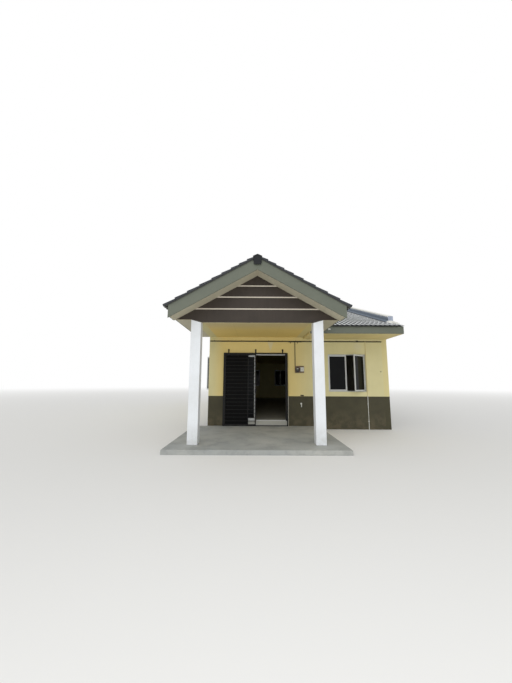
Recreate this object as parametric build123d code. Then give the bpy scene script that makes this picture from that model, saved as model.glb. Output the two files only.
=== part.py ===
from build123d import *
import os
from math import cos, radians, sin, tan

# Single-storey terraced house with a gabled car porch, in millimetres
# X runs along the street with 0 on the porch centreline, Y runs into the house
# with 0 on the front wall's outer face, Z is up with 0 on the ground

# Levels above the ground
porch_floor_top = 100
door_step = 155
house_floor_top = porch_floor_top + door_step
storey_height = 2808
ceiling_level = porch_floor_top + storey_height
side_soffit_rise = 57
side_soffit_level = ceiling_level + side_soffit_rise
lintel_height = 503
head_level = ceiling_level - lintel_height
sill_level = 1185

# House body
house_left = -1560
house_right = 4320
house_depth = 13270
wall_thickness = 150
party_wall_thickness = 170
cut_margin = 10
fin_height = 180
fin_reach = 550

# Main roof: its ridge runs along X
main_pitch = 19.5
main_eave_reach = 1205
main_eave_rise = 257
main_eave_level = ceiling_level + main_eave_rise
roof_cover = 60

# Porch: its ridge runs along Y
porch_depth = 2750
column_size = 235
porch_half_width = -house_left
porch_pitch = 29.6
porch_eave_overhang = 530
porch_eave_rise = 248
porch_eave_level = ceiling_level + porch_eave_rise
verge_overhang = 450
porch_floor_half_width = 1990

# Roof tiles: rolls that run up each slope, with flat pans between them
tile_roll_spacing = 138
tile_roll_depth = 30
tile_roll_crest = 38
tile_roll_side = 26
main_first_roll = 5
porch_first_roll = 9
valley_fill = 70

# Boards
board = 25
soffit_board = 10
ceiling_board = 12
side_fascia_lap = 110
main_fascia_setback = 65
barge_tile_gap = 28
barge_height = 267
barge_soffit_drop = 23
main_barge_height = 180
main_barge_thickness = 20

# Gable strips, by their heights above the porch ceiling's edge
strip_heights = (282, 572, 851)
strip_size = 28
strip_proud = 8

# Ridge caps, bedded on the tiles, and the plate that closes the porch ridge
cap_half_width = 105
cap_crown = 20
cap_edge = 32
cap_run_in = 300
cap_end_drop = 225
cap_end_half_width = 82
cap_end_thickness = 20

# Doors
door_width = 2040
door_centre = -30
door_frame_bar = 40
door_frame_y = (30, 120)
door_track_height = 25
leaf_overlap = 20
leaf_depth = 30
leaf_stile = 55
leaf_clearance = 5
leaf_track_gap = 10
roller_gap = 0.3
roller_inset = 150
roller_length = 60
roller_thickness = 12
glass_thickness = 6

# Steel grille in front of the door
grille_bar = 40
grille_depth = 62
grille_lap = 30
grille_track_height = 20
grille_leaf_depth = 25
grille_stile = 30
grille_rod = 12
grille_post = 20
grille_pitch = 120
grille_post_share = 0.75
bracket_size = (24, 6, 130)
bracket_spacing = 890

# Windows
window_width = 1232
window_frame_bar = 26
window_frame_depth = 60
window_setback = 40
sash_bar = 42
sash_depth = 30
sash_setback = 10
sash_bite = 6
front_window_left = 2356
front_ajar_angle = 40
side_ajar_angle = 27
side_window_starts = (370, 5400, 9800)
rear_window_spans = ((-900, 300), (1500, 2400))

# Rear door
rear_door_width = 900
rear_door_left = 2950
rear_door_leaf = 40
rear_door_setback = 60

# Fittings on the front wall
meter_gap = 268
meter_board = (298, 25, 226)
meter_level = 1787
meter_radius = 68
meter_depth = 105
breaker_size = (110, 85, 130)
conduit_radius = 11
cable_radius = 10
cable_drop = 72
cable_end_gap = 10
hanger_size = (440, 18, 34)
tap_gap = 455
tap_level = 800
tap_radius = 13
tap_reach = 60
tap_drop = 100
tap_rose = (28, 6)

main_slope = tan(radians(main_pitch))
porch_slope = tan(radians(porch_pitch))
main_cover_drop = roof_cover / cos(radians(main_pitch))
porch_cover_drop = roof_cover / cos(radians(porch_pitch))
ridge_y = house_depth / 2
porch_eave_reach = porch_half_width + porch_eave_overhang
main_ridge_level = main_eave_level + (ridge_y + main_eave_reach) * main_slope
porch_ridge_level = porch_eave_level + porch_eave_reach * porch_slope
column_front = -porch_depth
verge_front = column_front - verge_overhang
gable_back = column_front + column_size
main_fascia_face = -main_eave_reach + main_fascia_setback
porch_back = (porch_ridge_level - main_eave_level) / main_slope - main_eave_reach
inner_left = house_left + wall_thickness
inner_right = house_right - party_wall_thickness
rear_inner = house_depth - wall_thickness
door_left = door_centre - door_width / 2
door_right = door_centre + door_width / 2
soffit_top = ceiling_level + soffit_board
side_fascia_face = porch_eave_reach - side_fascia_lap
column_inner = porch_half_width - column_size
barge_plumb = barge_height / cos(radians(porch_pitch))
meter_left = door_right + meter_gap
tap_x = door_right + tap_gap


def block(x, y, z):
    """Box given by its spans along X, Y and Z."""
    size = (x[1] - x[0], y[1] - y[0], z[1] - z[0])
    centre = ((x[0] + x[1]) / 2, (y[0] + y[1]) / 2, (z[0] + z[1]) / 2)
    return Pos(*centre) * Box(*size)


def prism_y(outline, y):
    """Outline of (x, z) points carried along Y."""
    face = make_face(Polyline(*[(px, y[0], pz) for px, pz in outline], close=True))
    return extrude(face, amount=y[1] - y[0], dir=(0, 1, 0))


def prism_x(outline, x):
    """Outline of (y, z) points carried along X."""
    face = make_face(Polyline(*[(x[0], py, pz) for py, pz in outline], close=True))
    return extrude(face, amount=x[1] - x[0], dir=(1, 0, 0))


def main_envelope(drop, base=0.0, x=(house_left, house_right)):
    """Everything below the main roof's tiles, lowered by drop."""
    front = -main_eave_reach
    rear = house_depth + main_eave_reach
    outline = [
        (front, base),
        (rear, base),
        (rear, main_eave_level - drop),
        (ridge_y, main_ridge_level - drop),
        (front, main_eave_level - drop),
    ]
    return prism_x(outline, x)


def porch_envelope(drop, y, base=0.0):
    """Everything below the porch roof's tiles, lowered by drop."""
    reach = porch_eave_reach
    outline = [
        (-reach, base),
        (reach, base),
        (reach, porch_eave_level - drop),
        (0, porch_ridge_level - drop),
        (-reach, porch_eave_level - drop),
    ]
    return prism_y(outline, y)


main_under = main_envelope(main_cover_drop)
porch_run = (verge_front + board, porch_back + roof_cover)
porch_under = porch_envelope(porch_cover_drop, porch_run)


def tile_rolls(eave, across, up, normal, width, length):
    """Rolls and pans side by side from the eave, carried up a slope past its ridge."""
    half = tile_roll_crest / 2
    foot = half + tile_roll_side
    crest = half - tile_roll_side * cut_margin / tile_roll_depth
    outline = []
    for index in range(int(width / tile_roll_spacing) + 2):
        middle = index * tile_roll_spacing
        outline += [(middle - foot, -tile_roll_depth), (middle - crest, cut_margin),
                    (middle + crest, cut_margin), (middle + foot, -tile_roll_depth)]
    low = -roof_cover - cut_margin
    outline = [(outline[0][0], low)] + outline + [(outline[-1][0], low)]
    start = eave - up * roof_cover
    corners = [start + across * run + normal * rise for run, rise in outline]
    face = make_face(Polyline(*corners, close=True))
    return extrude(face, amount=length + 2 * roof_cover, dir=up)


def main_rolls(rear):
    """Tile rolls of the front or the rear slope of the main roof."""
    lean = sin(radians(main_pitch))
    run = cos(radians(main_pitch))
    sign = -1 if rear else 1
    eave = Vector(house_left + main_first_roll, ridge_y - sign * (ridge_y + main_eave_reach), main_eave_level)
    length = (ridge_y + main_eave_reach) / run
    width = house_right - house_left
    return tile_rolls(eave, Vector(1, 0, 0), Vector(0, sign * run, lean), Vector(0, -sign * lean, run),
                      width, length)


def porch_rolls(sign):
    """Tile rolls of the left or the right slope of the porch roof."""
    lean = sin(radians(porch_pitch))
    run = cos(radians(porch_pitch))
    eave = Vector(sign * porch_eave_reach, verge_front + porch_first_roll, porch_eave_level)
    width = porch_back - verge_front
    return tile_rolls(eave, Vector(0, 1, 0), Vector(-sign * run, 0, lean), Vector(sign * lean, 0, run),
                      width, porch_eave_reach / run)


def with_rolls(slope, rolls, meeting):
    """Roof slope with its pans sunk, up to the filled valley where it meets the other roof."""
    return slope - (slope - rolls - meeting)


def sloped_wall(solid):
    """Wall cut off under the main roof."""
    return solid & main_under


def make_floors():
    half = porch_floor_half_width
    porch_floor = block((-half, half), (verge_front, 0), (0, porch_floor_top))
    floor_z = (0, house_floor_top)
    house_floor = block((inner_left, inner_right), (wall_thickness, rear_inner), floor_z)
    front_sill = block((door_left, door_right), (0, wall_thickness), floor_z)
    rear_span = (rear_door_left, rear_door_left + rear_door_width)
    rear_sill = block(rear_span, (rear_inner, house_depth), floor_z)
    return {"porch_floor": porch_floor, "house_floor": house_floor + front_sill + rear_sill}


def make_columns_and_beams():
    """Columns whose tops slope with the haunches of the gable wall, and the side beams."""
    nodes = {}
    haunch = side_soffit_level + soffit_board
    for side, sign in (("left", -1), ("right", 1)):
        inner = sign * column_inner
        outer = sign * porch_half_width
        outline = [(inner, porch_floor_top), (outer, porch_floor_top), (outer, haunch),
                   (inner, ceiling_level)]
        span = (min(inner, outer), max(inner, outer))
        beam = block(span, (gable_back, 0), (side_soffit_level, porch_ridge_level))
        nodes["column_" + side] = prism_y(outline, (column_front, gable_back))
        nodes["porch_beam_" + side] = beam & porch_under
    return nodes


def make_gable():
    half = porch_half_width
    base = side_soffit_level + soffit_board
    wing = side_fascia_face - board
    high = porch_ridge_level
    outline = [(-wing, base), (-half, base), (-column_inner, ceiling_level), (column_inner, ceiling_level),
               (half, base), (wing, base), (wing, high), (-wing, high)]
    gable_wall = prism_y(outline, (column_front, gable_back)) & porch_under
    strips = []
    verge_under = porch_ridge_level - barge_tile_gap - barge_plumb + barge_soffit_drop
    for height in strip_heights:
        low = ceiling_level + height
        reach_low = (verge_under - low) / porch_slope
        reach_high = (verge_under - low - strip_size) / porch_slope
        outline = [(-reach_low, low), (reach_low, low), (reach_high, low + strip_size),
                   (-reach_high, low + strip_size)]
        strips.append(prism_y(outline, (column_front - strip_proud, column_front)))
    return {"gable_wall": gable_wall, "gable_strips": Compound(children=strips)}


def make_porch_ceiling():
    span = (-column_inner, column_inner)
    level = side_soffit_level
    return {"porch_ceiling": block(span, (gable_back, 0), (level, level + ceiling_board))}


def make_porch_roof():
    cover = porch_envelope(0, porch_run) - porch_under
    cover -= main_envelope(0)
    cover -= block((-2 * porch_eave_reach, house_left), (0, ridge_y), (0, main_ridge_level))
    reach = 2 * porch_eave_reach
    span_y = (verge_front - board, ridge_y)
    levels = (0, main_ridge_level)
    valley = main_envelope(-valley_fill)
    left = with_rolls(cover & block((-reach, 0), span_y, levels), porch_rolls(-1), valley)
    right = with_rolls(cover & block((0, reach), span_y, levels), porch_rolls(1), valley)
    return {"porch_roof_left": left, "porch_roof_right": right}


def barge_outline(sign):
    """Barge board seen from the front, its lower end cut plumb."""
    top = porch_ridge_level - barge_tile_gap
    end = side_fascia_face
    end_top = top - end * porch_slope
    return [(0, top - barge_plumb), (sign * end, end_top - barge_plumb), (sign * end, end_top), (0, top)]


def make_verge():
    nodes = {}
    for side, sign in (("left", -1), ("right", 1)):
        nodes["barge_board_" + side] = prism_y(barge_outline(sign), (verge_front, verge_front + board))
    under = porch_ridge_level - barge_tile_gap - barge_plumb + barge_soffit_drop
    thick = soffit_board / cos(radians(porch_pitch))
    reach = side_fascia_face - board
    end = under - reach * porch_slope
    outline = [(-reach, end), (0, under), (reach, end), (reach, end + thick), (0, under + thick),
               (-reach, end + thick)]
    nodes["verge_soffit"] = prism_y(outline, (verge_front + board, column_front))
    return nodes


def make_side_eaves():
    face = side_fascia_face
    fascia_z = (side_soffit_level, porch_ridge_level)
    front = verge_front + board
    right = block((face - board, face), (front, main_fascia_face), fascia_z) & porch_under
    left = block((-face, -face + board), (front, 0), fascia_z) & porch_under
    end = block((-face + board, house_left), (-board, 0), fascia_z) & porch_under
    soffit_z = (side_soffit_level, side_soffit_level + soffit_board)
    half = porch_half_width
    right_soffit = block((half, face - board), (column_front, main_fascia_face), soffit_z)
    left_soffit = block((-face + board, -half), (column_front, -board), soffit_z)
    return {
        "porch_fascias": Compound(children=[left + end, right]),
        "porch_side_soffits": Compound(children=[left_soffit, right_soffit]),
    }


def window_hole(span, sill, wall_y):
    through = (wall_y - cut_margin, wall_y + wall_thickness + cut_margin)
    return block(span, through, (sill, head_level))


def make_walls():
    tall = (0, main_ridge_level)
    front_y = (0, wall_thickness)
    rear_y = (rear_inner, house_depth)
    left = block((inner_left, door_left), front_y, tall)
    right = block((door_right, inner_right), front_y, tall)
    window = (front_window_left, front_window_left + window_width)
    right -= window_hole(window, sill_level, 0)
    over = block((door_left, door_right), front_y, (head_level, main_ridge_level))
    side = block((house_left, inner_left), (0, house_depth), tall)
    for start in side_window_starts:
        through = (house_left - cut_margin, inner_left + cut_margin)
        side -= block(through, (start, start + window_width), (sill_level, head_level))
    rear_right_edge = rear_door_left + rear_door_width
    rear_left = block((inner_left, rear_door_left), rear_y, tall)
    for span in rear_window_spans:
        rear_left -= window_hole(span, sill_level, rear_inner)
    rear_right = block((rear_right_edge, inner_right), rear_y, tall)
    rear_over = block((rear_door_left, rear_right_edge), rear_y, (head_level, main_ridge_level))
    return {
        "front_wall_left": sloped_wall(left),
        "front_wall_right": sloped_wall(right),
        "front_wall_over_door": sloped_wall(over),
        "side_wall": sloped_wall(side),
        "rear_wall_left": sloped_wall(rear_left),
        "rear_wall_right": sloped_wall(rear_right),
        "rear_wall_over_door": sloped_wall(rear_over),
    }


def party_wall_solid():
    """Wall shared with the next house, and its fin that stands over the tiles and the eaves."""
    x = (inner_right, house_right)
    wall = block(x, (0, house_depth), (0, 2 * main_ridge_level)) & main_envelope(-fin_height)
    fin_span = block(x, (-fin_reach, house_depth + fin_reach), (0, 2 * main_ridge_level))
    fin = (main_envelope(-fin_height) - main_under) & fin_span
    return wall + fin


def make_main_roof():
    cover = main_envelope(0) - main_under
    cover -= porch_under
    cover -= party_wall_solid()
    reach = main_eave_reach + board
    span = (house_left, house_right)
    levels = (0, main_ridge_level)
    valley = porch_envelope(-valley_fill, porch_run)
    front = with_rolls(cover & block(span, (-reach, ridge_y), levels), main_rolls(False), valley)
    rear = cover & block(span, (ridge_y, house_depth + reach), levels) & main_rolls(True)
    return {"main_roof_front": front, "main_roof_rear": rear}


def make_main_eaves():
    front_face = main_fascia_face
    rear_face = house_depth - main_fascia_face
    plate = soffit_board
    beam_face = porch_half_width
    end = house_right - plate
    fascia_z = (ceiling_level, main_ridge_level)
    fascia_front = block((beam_face, house_right), (front_face, front_face + board), fascia_z)
    fascia_rear = block((house_left, house_right), (rear_face - board, rear_face), fascia_z)
    soffit_z = (ceiling_level, soffit_top)
    soffit_front = block((beam_face, end), (front_face + board, 0), soffit_z)
    soffit_rear = block((house_left + plate, end), (house_depth, rear_face - board), soffit_z)
    ends = [
        block((end, house_right), (front_face + board, 0), fascia_z) & main_under,
        block((end, house_right), (house_depth, rear_face - board), fascia_z) & main_under,
        block((house_left, house_left + plate), (house_depth, rear_face - board), fascia_z) & main_under,
    ]
    return {
        "main_fascia_front": fascia_front & main_under & porch_clear(),
        "main_fascia_rear": fascia_rear & main_under,
        "eave_soffit_front": soffit_front,
        "eave_soffit_rear": soffit_rear,
        "eave_end_plates": Compound(children=ends),
    }


def porch_clear():
    """Space that the main fascia may fill beside and under the porch roof."""
    reach = porch_eave_reach
    beside = block((reach, house_right), (-main_eave_reach, 0), (0, main_ridge_level))
    return beside + porch_under


def make_main_barge():
    side = (house_left - main_barge_thickness, house_left)
    low = barge_tile_gap + main_barge_height
    band = main_envelope(barge_tile_gap, x=side) - main_envelope(low, x=side)
    rear = house_depth + main_eave_reach
    return {"main_barge_left": band & block(side, (0, rear), (0, main_ridge_level))}


def make_room_ceiling():
    z = (ceiling_level, ceiling_level + ceiling_board)
    return {"room_ceiling": block((inner_left, inner_right), (wall_thickness, rear_inner), z)}


def cap_outline(ridge, slope):
    """Ridge cap across its run: a low crown over two upright edges."""
    half = cap_half_width
    edge = ridge - half * slope + cap_edge
    foot = edge - 2 * cap_edge
    return [(-half, foot), (half, foot), (half, edge), (0, ridge + cap_crown), (-half, edge)]


def make_ridge_caps(tiles):
    """Ridge caps bedded on the rolls and down into the pans of the tiles."""
    front = verge_front - board - cap_end_thickness
    run = (front, porch_back + cap_run_in)
    outline = cap_outline(porch_ridge_level, porch_slope)
    cap = prism_y(outline, run) - porch_envelope(0, (front, porch_run[0])) - porch_under - main_envelope(0)
    cap = cap - tiles["porch_roof_left"] - tiles["porch_roof_right"]
    low = porch_ridge_level - cap_end_drop
    end_outline = [(-cap_end_half_width, low), (cap_end_half_width, low)] + outline[2:]
    end = prism_y(end_outline, (front, front + cap_end_thickness))
    main_outline = [(ridge_y + across, level) for across, level in cap_outline(main_ridge_level, main_slope)]
    main_cap = prism_x(main_outline, (house_left, inner_right)) - main_under
    main_cap = main_cap - tiles["main_roof_front"] - tiles["main_roof_rear"]
    return {"porch_ridge_cap": cap + end, "main_ridge_cap": main_cap}


def ring(x, z, y, bar):
    """Rectangular frame in the XZ plane."""
    outer = block(x, y, z)
    hole = block((x[0] + bar, x[1] - bar), (y[0] - 1, y[1] + 1), (z[0] + bar, z[1] - bar))
    return outer - hole


def rollers(x, y, z):
    """Two rollers under a sliding panel that spans x and stands at y."""
    centres = (x[0] + roller_inset, x[1] - roller_inset)
    half = roller_length / 2
    depth = (y - roller_thickness / 2, y + roller_thickness / 2)
    left, right = [block((centre - half, centre + half), depth, z) for centre in centres]
    return left + right


def make_door():
    x0, x1 = door_left, door_right
    y0, y1 = door_frame_y
    bar = door_frame_bar
    floor = house_floor_top
    jambs = block((x0, x0 + bar), (y0, y1), (floor, head_level))
    jambs += block((x1 - bar, x1), (y0, y1), (floor, head_level))
    head = block((x0, x1), (y0, y1), (head_level - bar, head_level))
    track = block((x0, x1), (y0, y1), (floor, floor + door_track_height))
    clear = x1 - x0 - 2 * bar
    leaf_width = (clear + leaf_overlap) / 2
    leaf_z = (floor + door_track_height, head_level - bar)
    fixed_y = (y0 + leaf_clearance, y0 + leaf_clearance + leaf_depth)
    fixed_x = (x0 + bar, x0 + bar + leaf_width)
    frame = jambs + head + track + ring(fixed_x, leaf_z, fixed_y, leaf_stile)
    slide_y = (fixed_y[1] + leaf_track_gap, fixed_y[1] + leaf_track_gap + leaf_depth)
    slide_x = (fixed_x[0] + leaf_clearance, fixed_x[1])
    slide_z = (leaf_z[0] + leaf_clearance, leaf_z[1] - leaf_clearance)
    leaf = ring(slide_x, slide_z, slide_y, leaf_stile)
    middle = (slide_y[0] + slide_y[1]) / 2
    leaf += rollers(slide_x, middle, (leaf_z[0] + roller_gap, slide_z[0]))
    pane = glass_thickness / 2
    fixed_middle = (fixed_y[0] + fixed_y[1]) / 2
    leaf_glass = block((slide_x[0] + leaf_stile, slide_x[1] - leaf_stile), (middle - pane, middle + pane),
                       (slide_z[0] + leaf_stile, slide_z[1] - leaf_stile))
    fixed_glass = block((fixed_x[0] + leaf_stile, fixed_x[1] - leaf_stile),
                        (fixed_middle - pane, fixed_middle + pane),
                        (leaf_z[0] + leaf_stile, leaf_z[1] - leaf_stile))
    return {"door_frame": frame, "sliding_leaf": leaf, "sliding_leaf_glass": leaf_glass,
            "door_fixed_glass": fixed_glass}


def grille_panel(x, z, y):
    """Steel panel of two stiles, rails, an inner post and level rods."""
    panel = ring(x, z, y, grille_stile)
    middle = (y[0] + y[1]) / 2
    post = x[0] + (x[1] - x[0]) * grille_post_share
    reach = grille_post / 2
    panel += block((post - reach, post + reach), (middle - reach, middle + reach), z)
    count = int((z[1] - z[0] - grille_stile) / grille_pitch)
    step = (z[1] - z[0] - grille_stile) / (count + 1)
    half = grille_rod / 2
    for index in range(1, count + 1):
        level = z[0] + grille_stile / 2 + index * step
        panel += block((x[0] + half, x[1] - half), (middle - half, middle + half),
                       (level - half, level + half))
    return panel


def make_grille():
    x0 = door_left - grille_lap
    x1 = door_right + grille_lap
    z0 = porch_floor_top
    z1 = head_level + grille_lap
    bar = grille_bar
    depth = (-grille_depth, 0)
    frame = block((x0, x0 + bar), depth, (z0, z1)) + block((x1 - bar, x1), depth, (z0, z1))
    frame += block((x0, x1), depth, (z1 - bar, z1))
    frame += block((x0, x1), depth, (z0, z0 + grille_track_height))
    clear = x1 - x0 - 2 * bar
    width = (clear + leaf_overlap) / 2
    panel_z = (z0 + grille_track_height, z1 - bar)
    fixed_x = (x0 + bar, x0 + bar + width)
    frame += grille_panel(fixed_x, panel_z, (-grille_leaf_depth, 0))
    leaf_y = (-grille_leaf_depth - leaf_track_gap - grille_leaf_depth, -grille_leaf_depth - leaf_track_gap)
    leaf_x = (fixed_x[0] + leaf_clearance, fixed_x[1])
    leaf_z = (panel_z[0] + leaf_clearance, panel_z[1] - leaf_clearance)
    leaf = grille_panel(leaf_x, leaf_z, leaf_y)
    middle = (leaf_y[0] + leaf_y[1]) / 2
    leaf += rollers(leaf_x, middle, (panel_z[0] + roller_gap, leaf_z[0]))
    wide, thick, tall = bracket_size
    brackets = []
    for index in (-1, 0, 1):
        centre = door_centre + index * bracket_spacing
        strap = block((centre - wide / 2, centre + wide / 2), (-thick, 0), (z1, z1 + tall))
        hook = block((centre - wide / 2, centre + wide / 2), (-5 * thick, 0), (z1 + tall - thick, z1 + tall))
        brackets.append(strap + hook)
    return {"grille_frame": frame, "grille_leaf": leaf, "grille_brackets": Compound(children=brackets)}


def casement(width, height, open_angle, hinge_right):
    """One sash of a casement window, hinged at its own origin, with its glass."""
    x = (-width, 0) if hinge_right else (0, width)
    frame = ring(x, (0, height), (0, sash_depth), sash_bar)
    pane = glass_thickness / 2
    middle = sash_depth / 2
    glass = block((x[0] + sash_bar, x[1] - sash_bar), (middle - pane, middle + pane),
                  (sash_bar, height - sash_bar))
    turn = Rot(0, 0, open_angle if hinge_right else -open_angle)
    return turn * frame, turn * glass


def window(width, left_angle, right_angle):
    """Two-leaf casement window, its frame and its glass, from its lower left corner."""
    bar = window_frame_bar
    height = head_level - sill_level
    frame = ring((0, width), (0, height), (window_setback, window_setback + window_frame_depth), bar)
    leaf_width = (width - 2 * bar) / 2 + sash_bite
    leaf_height = height - 2 * bar
    panes = []
    hinges = (bar - sash_bite, width - bar + sash_bite)
    for hinge, angle, right in ((hinges[0], left_angle, False), (hinges[1], right_angle, True)):
        sash, glass = casement(leaf_width, leaf_height, angle, right)
        place = Pos(hinge, window_setback + sash_setback, bar)
        frame += place * sash
        panes.append(place * glass)
    return frame, panes


def make_windows():
    glass = []
    front, panes = window(window_width, 0, front_ajar_angle)
    place = Pos(front_window_left, 0, sill_level)
    front = place * front
    glass += [place * pane for pane in panes]
    side_frames = []
    for index, start in enumerate(side_window_starts):
        frame, panes = window(window_width, 0, side_ajar_angle if index == 0 else 0)
        place = Pos(house_left, start + window_width, sill_level) * Rot(0, 0, -90)
        side_frames.append(place * frame)
        glass += [place * pane for pane in panes]
    rear_frames = []
    for span in rear_window_spans:
        frame, panes = window(span[1] - span[0], 0, 0)
        place = Pos(span[1], house_depth, sill_level) * Rot(0, 0, 180)
        rear_frames.append(place * frame)
        glass += [place * pane for pane in panes]
    return {
        "front_window": front,
        "side_windows": Compound(children=side_frames),
        "rear_windows": Compound(children=rear_frames),
        "window_glass": Compound(children=glass),
    }


def make_rear_door():
    x = (rear_door_left, rear_door_left + rear_door_width)
    y = (rear_inner + rear_door_setback, rear_inner + rear_door_setback + rear_door_leaf)
    return {"rear_door": block(x, y, (house_floor_top, head_level))}


def rod(start, end, radius):
    """Round bar between two points."""
    path = Vector(*end) - Vector(*start)
    plane = Plane(origin=start, z_dir=path)
    return extrude(plane * Circle(radius), path.length)


def make_fittings():
    wide, thick, tall = meter_board
    top = meter_level + tall
    middle = meter_level + tall / 2
    meter = block((meter_left, meter_left + wide), (-thick, 0), (meter_level, top))
    dial_x = meter_left + wide / 4
    meter += rod((dial_x, -thick, middle), (dial_x, -meter_depth, middle), meter_radius)
    breaker_x = meter_left + wide * 3 / 4
    meter += block((breaker_x - breaker_size[0] / 2, breaker_x + breaker_size[0] / 2),
                   (-thick - breaker_size[1], -thick),
                   (middle - breaker_size[2] / 2, middle + breaker_size[2] / 2))
    cable_z = ceiling_level - cable_drop
    cable = rod((cable_end_gap - porch_half_width, -cable_radius, cable_z),
                (inner_right, -cable_radius, cable_z), cable_radius)
    conduit_x = meter_left + conduit_radius
    cable += rod((conduit_x, -conduit_radius, top), (conduit_x, -conduit_radius, cable_z), conduit_radius)
    hang_wide, hang_deep, hang_tall = hanger_size
    cable += block((conduit_x - hang_wide / 2, conduit_x + hang_wide / 2), (-hang_deep, 0),
                   (cable_z - hang_tall, cable_z))
    tap = rod((tap_x, 0, tap_level), (tap_x, -tap_rose[1], tap_level), tap_rose[0])
    tap += rod((tap_x, 0, tap_level), (tap_x, -tap_reach, tap_level), tap_radius)
    tap += rod((tap_x, -tap_reach, tap_level + tap_radius), (tap_x, -tap_reach, tap_level - tap_drop),
               tap_radius)
    return {"meter_box": meter, "wall_cable": cable, "wall_tap": tap}


nodes = {}
for maker in (make_floors, make_columns_and_beams, make_gable, make_porch_ceiling, make_porch_roof,
              make_verge, make_side_eaves, make_walls, make_main_roof, make_main_eaves, make_main_barge,
              make_room_ceiling, make_door, make_grille, make_windows, make_rear_door, make_fittings):
    nodes.update(maker())
nodes.update(make_ridge_caps(nodes))
nodes["party_wall"] = party_wall_solid()

os.makedirs("parts", exist_ok=True)
for name, solid in nodes.items():
    export_step(solid, "parts/" + name + ".step")
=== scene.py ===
from math import cos, radians, sin, tan

import bmesh
import bpy
import numpy as np
from mathutils import Matrix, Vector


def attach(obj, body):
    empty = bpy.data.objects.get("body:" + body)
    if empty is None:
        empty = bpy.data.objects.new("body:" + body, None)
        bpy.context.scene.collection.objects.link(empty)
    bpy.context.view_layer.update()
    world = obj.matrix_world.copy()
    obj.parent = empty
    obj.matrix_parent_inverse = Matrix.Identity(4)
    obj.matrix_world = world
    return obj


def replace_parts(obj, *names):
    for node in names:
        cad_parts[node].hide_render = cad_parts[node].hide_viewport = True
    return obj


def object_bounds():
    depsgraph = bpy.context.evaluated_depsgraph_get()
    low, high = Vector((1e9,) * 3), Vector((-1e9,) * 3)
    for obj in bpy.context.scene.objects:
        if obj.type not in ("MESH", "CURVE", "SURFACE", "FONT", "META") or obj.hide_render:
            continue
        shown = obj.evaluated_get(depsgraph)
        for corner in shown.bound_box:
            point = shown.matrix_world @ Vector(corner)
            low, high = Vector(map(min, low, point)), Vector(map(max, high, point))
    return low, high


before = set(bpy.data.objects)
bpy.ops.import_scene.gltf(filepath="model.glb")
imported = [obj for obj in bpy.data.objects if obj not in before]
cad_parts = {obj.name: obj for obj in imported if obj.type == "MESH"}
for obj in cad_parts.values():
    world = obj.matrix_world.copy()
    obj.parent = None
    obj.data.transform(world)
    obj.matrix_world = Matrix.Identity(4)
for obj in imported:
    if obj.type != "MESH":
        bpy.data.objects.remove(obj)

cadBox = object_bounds()
print("house frame loaded")

# Where the camera stood: metres and degrees, lens for a 36 mm long side
viewpoint = {"place": (-0.037, -9.21, 1.5), "pitch": 8.164, "turn": 0.087, "roll": 0.26, "lens": 14.72}

# The house's own planes, in metres and degrees, as the frame has them
roof = {
    "mainPitch": 19.5, "mainEave": -1.205, "mainLevel": 3.165, "depth": 13.27,
    "left": -1.56, "right": 4.15, "edge": 4.32, "finReach": 0.55, "finHeight": 0.18,
    "porchPitch": 29.6, "porchReach": 2.09, "porchLevel": 3.156, "porchFront": -3.226,
}
mainSlope, porchSlope = (tan(radians(roof[key])) for key in ("mainPitch", "porchPitch"))
ridgeY = roof["depth"] / 2
mainRidge = roof["mainLevel"] + (ridgeY - roof["mainEave"]) * mainSlope
porchRidge = roof["porchLevel"] + roof["porchReach"] * porchSlope
dadoTop = 1.036  # where the dark dado ends on the walls
wallSkin = 0.004  # a point this near to a wall's face has the face's paint

# How every mesh is made: doubles nearer than merge become one, and bevels have so many segments
meshing = {"merge": 2e-5, "segments": 2}


def makePiece(name, points, faces, finish, slot, body="house", uv=None, rise=None, soften=38, bevel=0):
    # Points and faces become one mesh inside the CAD's box; doubles are merged and the faces turned outwards
    mesh = bpy.data.meshes.new(name)
    points = np.clip(np.asarray(points, float).reshape(-1, 3), cadBox[0], cadBox[1])
    mesh.from_pydata(points.tolist(), [], [list(f) for f in faces])
    if uv is not None:
        corners = np.empty(len(mesh.loops), int)
        mesh.loops.foreach_get("vertex_index", corners)
        mesh.uv_layers.new(name="UVMap").data.foreach_set("uv", np.asarray(uv, float)[corners].ravel())
    if rise is not None:
        mesh.attributes.new("rise", "FLOAT", "POINT").data.foreach_set("value", np.asarray(rise, float))
    shape = bmesh.new()
    shape.from_mesh(mesh)
    bmesh.ops.remove_doubles(shape, verts=shape.verts, dist=meshing["merge"])
    bmesh.ops.recalc_face_normals(shape, faces=shape.faces)
    shape.to_mesh(mesh)
    shape.free()
    mesh.polygons.foreach_set("use_smooth", np.ones(len(mesh.polygons), bool))
    mesh.set_sharp_from_angle(angle=radians(soften))
    mesh.materials.append(finish)
    piece = bpy.data.objects.new(name, mesh)
    bpy.context.scene.collection.objects.link(piece)
    if bevel:
        edge = piece.modifiers.new("edge", "BEVEL")
        edge.width, edge.segments, edge.limit_method = bevel, meshing["segments"], "ANGLE"
    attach(piece, body)
    return piece


def gridFaces(rows, columns, start=0):
    # Quads between neighbouring rows and columns of a grid of points
    index = start + np.arange(rows * columns).reshape(rows, columns)
    return np.stack([index[:-1, :-1], index[:-1, 1:], index[1:, 1:], index[1:, :-1]], -1).reshape(-1, 4)


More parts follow.
